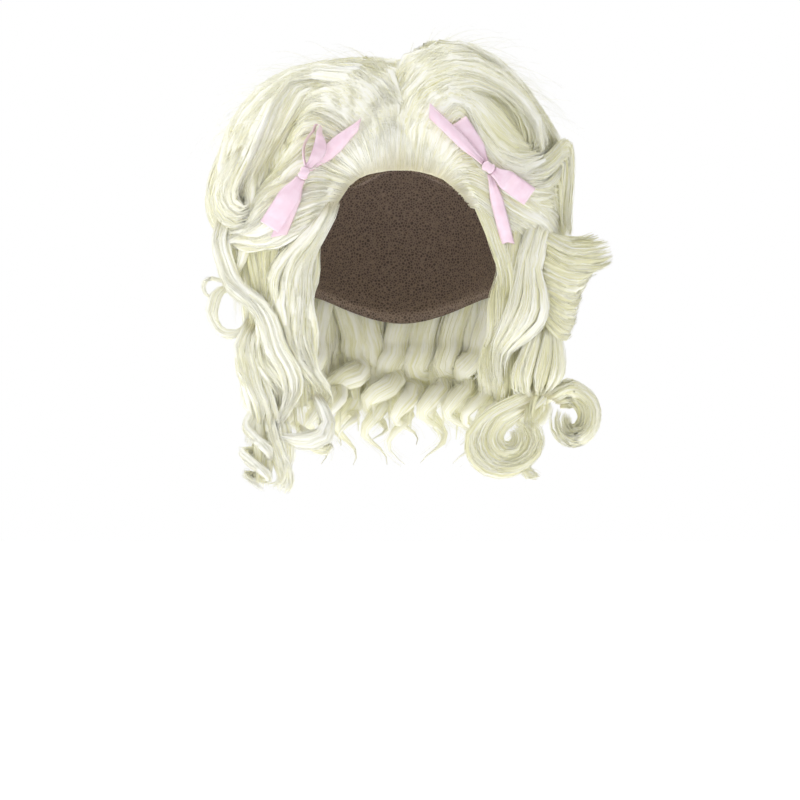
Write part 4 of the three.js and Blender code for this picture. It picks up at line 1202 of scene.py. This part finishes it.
def tail_places(knot, heading, reach, width, end, slant, notch, cup):
    """A strip that runs out from the knot over the hair to its cut end."""
    foot, run, flat = ribbon_ways(knot, heading)
    far = RIBBON_START + (reach - RIBBON_START) * SHARE
    rest = resting_depth(knot, heading, far, width) - TAIL_GAP
    full = GATHER * (1 + (end - 1) * ease(SHARE, 0.5, 1))
    cut = slant * ACROSS - notch * (1 - np.abs(ACROSS))
    spot = far[:, None] + cut[None, :] * SHARE[:, None]
    side = width / 2 * ACROSS[None, :] * full[:, None]
    lift = PLEATS + cup * (1 - ACROSS**2)[None, :] * GATHER[:, None]
    places = foot + run * spot[..., None] + flat * side[..., None] + FRONT * lift[..., None]
    places[..., 1] += np.interp(spot, far, rest)
    return places


def loop_places(knot, heading, reach, width, opening, roll, out, home, full):
    """A strip that runs out from the knot, bends round and comes home in front of itself."""
    foot, run, flat = ribbon_ways(knot, heading)
    apart = FRONT * np.cos(np.radians(roll)) + flat * np.sin(np.radians(roll))
    far = RIBBON_START + (reach - RIBBON_START) * SHARE
    middle = foot + run * far[:, None]
    stand = RIBBON_GAP + width / 2 * np.sin(np.radians(roll)) + opening / 2 + 1
    middle[:, 1] = resting_depth(knot, heading, far, width) - stand
    half = LOOP_LEAST + opening / 2 * np.sin(np.pi * np.minimum(SHARE, full))
    angles = np.radians(np.linspace(-90, 90, 9)[1:-1])[:, None]
    bend = middle[-1] + half[-1] * (run * np.cos(angles) + apart * np.sin(angles))
    spine = np.vstack([middle - apart * half[:, None], bend, (middle + apart * half[:, None])[::-1]])
    gathers = np.concatenate([GATHER, np.ones(len(bend)), GATHER[::-1]])
    pleats = np.vstack([PLEATS, np.zeros((len(bend), RIBBON_ROWS)), PLEATS[::-1]])
    turned = np.radians(out + (home - out) * ease(np.linspace(0, 1, len(spine)), 0.2, 0.48))[:, None]
    across = flat * np.cos(turned) + FRONT * np.sin(turned)
    side = width / 2 * ACROSS[None, :] * gathers[:, None]
    lift = 0.6 * pleats - 0.4 * (ACROSS**2)[None, :]
    return spine[:, None] + across[:, None] * side[..., None] + apart * lift[..., None]


def knot_piece(name, knot, heading):
    """A ball made boxy and creased, turned along the bow and set on the hair."""
    bpy.ops.mesh.primitive_uv_sphere_add(segments=40, ring_count=24, radius=0.5)
    piece = bpy.context.object
    piece.name = name
    ball = np.array([v.co for v in piece.data.vertices])
    boxy = np.sign(ball) * np.abs(ball * 2) ** KNOT_ROUND / 2
    crease = 1 - KNOT_CREASE * np.cos(KNOT_CREASES * ball[:, 0] * 2 + 2 * np.arctan2(ball[:, 1], ball[:, 2]))
    boxy = boxy * np.stack([np.ones_like(crease), crease, crease], axis=-1) * np.array(KNOT_SIZE)
    c, s = np.cos(np.radians(heading)), np.sin(np.radians(heading))
    beside = (-KNOT_REACH, 0, KNOT_REACH)
    spots = [front_of(knot[0] + u, knot[1] + w) for u in beside for w in beside]
    places = np.stack([
        knot[0] + boxy[:, 0] * c - boxy[:, 2] * s,
        min(spots) + KNOT_SINK - KNOT_SIZE[1] / 2 + boxy[:, 1],
        knot[1] + boxy[:, 0] * s + boxy[:, 2] * c,
    ], axis=-1) * MM
    piece.data.vertices.foreach_set("co", places.ravel())
    piece.data.update()
    bpy.ops.object.mode_set(mode="EDIT")
    bpy.ops.mesh.select_all(action="SELECT")
    bpy.ops.mesh.normals_make_consistent(inside=False)
    bpy.ops.object.mode_set(mode="OBJECT")
    bpy.ops.object.shade_smooth()
    piece.select_set(False)
    return piece


for bow in BOWS:
    strips = [(row[0], tail_places, row[1:]) for row in bow["tails"]]
    strips += [(row[0], loop_places, row[1:]) for row in bow["loops"]]
    strips.sort(key=lambda strip: strip[0] == bow["laid_last"])
    for name, places_of, sizes in strips:
        piece, across, along = sheet_piece(f"{bow['name']}_{name}_satin", places_of(bow["knot"], *sizes))
        laid.append(tree_of(piece))
        place_piece(piece, SATIN, [f"{bow['name']}_{name}"])
    knot = knot_piece(f"{bow['name']}_tied_knot", bow["knot"], bow["heading"])
    place_piece(knot, SATIN, [f"{bow['name']}_knot"])

# Floor, light and camera.
bpy.ops.mesh.primitive_plane_add(size=FLOOR_SIZE, location=(0, 0, FLOOR_HEIGHT))
floor = bpy.context.object
floor.name = "floor"
floor_material, _, floor_shader = material_of("pale_floor", (0.95, 0.95, 0.95), 0.8)
floor_shader.inputs["Emission Color"].default_value = (1, 1, 1, 1)
floor_shader.inputs["Emission Strength"].default_value = FLOOR_GLOW
floor.data.materials.append(floor_material)

world = bpy.data.worlds.new("studio")
world.use_nodes = True
sky = world.node_tree
around = add_node(sky, "ShaderNodeTexCoord")
facing = add_node(sky, "ShaderNodeVectorMath", operation="DOT_PRODUCT")
facing.inputs[1].default_value = BRIGHT_SIDE
glow = add_node(sky, "ShaderNodeMapRange", **{"From Min": -1.0, "To Min": SKY_DIM, "To Max": SKY_BRIGHT})
seen = add_node(sky, "ShaderNodeLightPath")
strength = add_node(sky, "ShaderNodeMix", data_type="FLOAT")
strength.inputs[3].default_value = 1.0
sky.links.new(around.outputs["Generated"], facing.inputs[0])
sky.links.new(facing.outputs["Value"], glow.inputs["Value"])
sky.links.new(seen.outputs["Is Camera Ray"], strength.inputs[0])
sky.links.new(glow.outputs["Result"], strength.inputs[2])
sky.links.new(strength.outputs[0], sky.nodes["Background"].inputs["Strength"])
sky.nodes["Background"].inputs["Color"].default_value = (1, 1, 1, 1)
bpy.context.scene.world = world
bpy.context.scene.view_settings.view_transform = "Standard"

for name, place, size, power in LAMPS:
    lamp = bpy.data.lights.new(name, "AREA")
    lamp.energy = power
    lamp.size = size
    light = bpy.data.objects.new(name, lamp)
    light.location = place
    light.rotation_euler = (VIEW_MIDDLE - Vector(place)).to_track_quat("-Z", "Y").to_euler()
    bpy.context.scene.collection.objects.link(light)

lens = bpy.data.cameras.new("camera")
lens.sensor_width = SENSOR_WIDTH
lens.lens = SENSOR_WIDTH * CAMERA_AWAY / VIEW_WIDTH
camera = bpy.data.objects.new("camera", lens)
camera.location = VIEW_MIDDLE + Vector((0, -CAMERA_AWAY, 0))
camera.rotation_euler = (np.pi / 2, 0, 0)
bpy.context.scene.collection.objects.link(camera)
bpy.context.scene.camera = camera
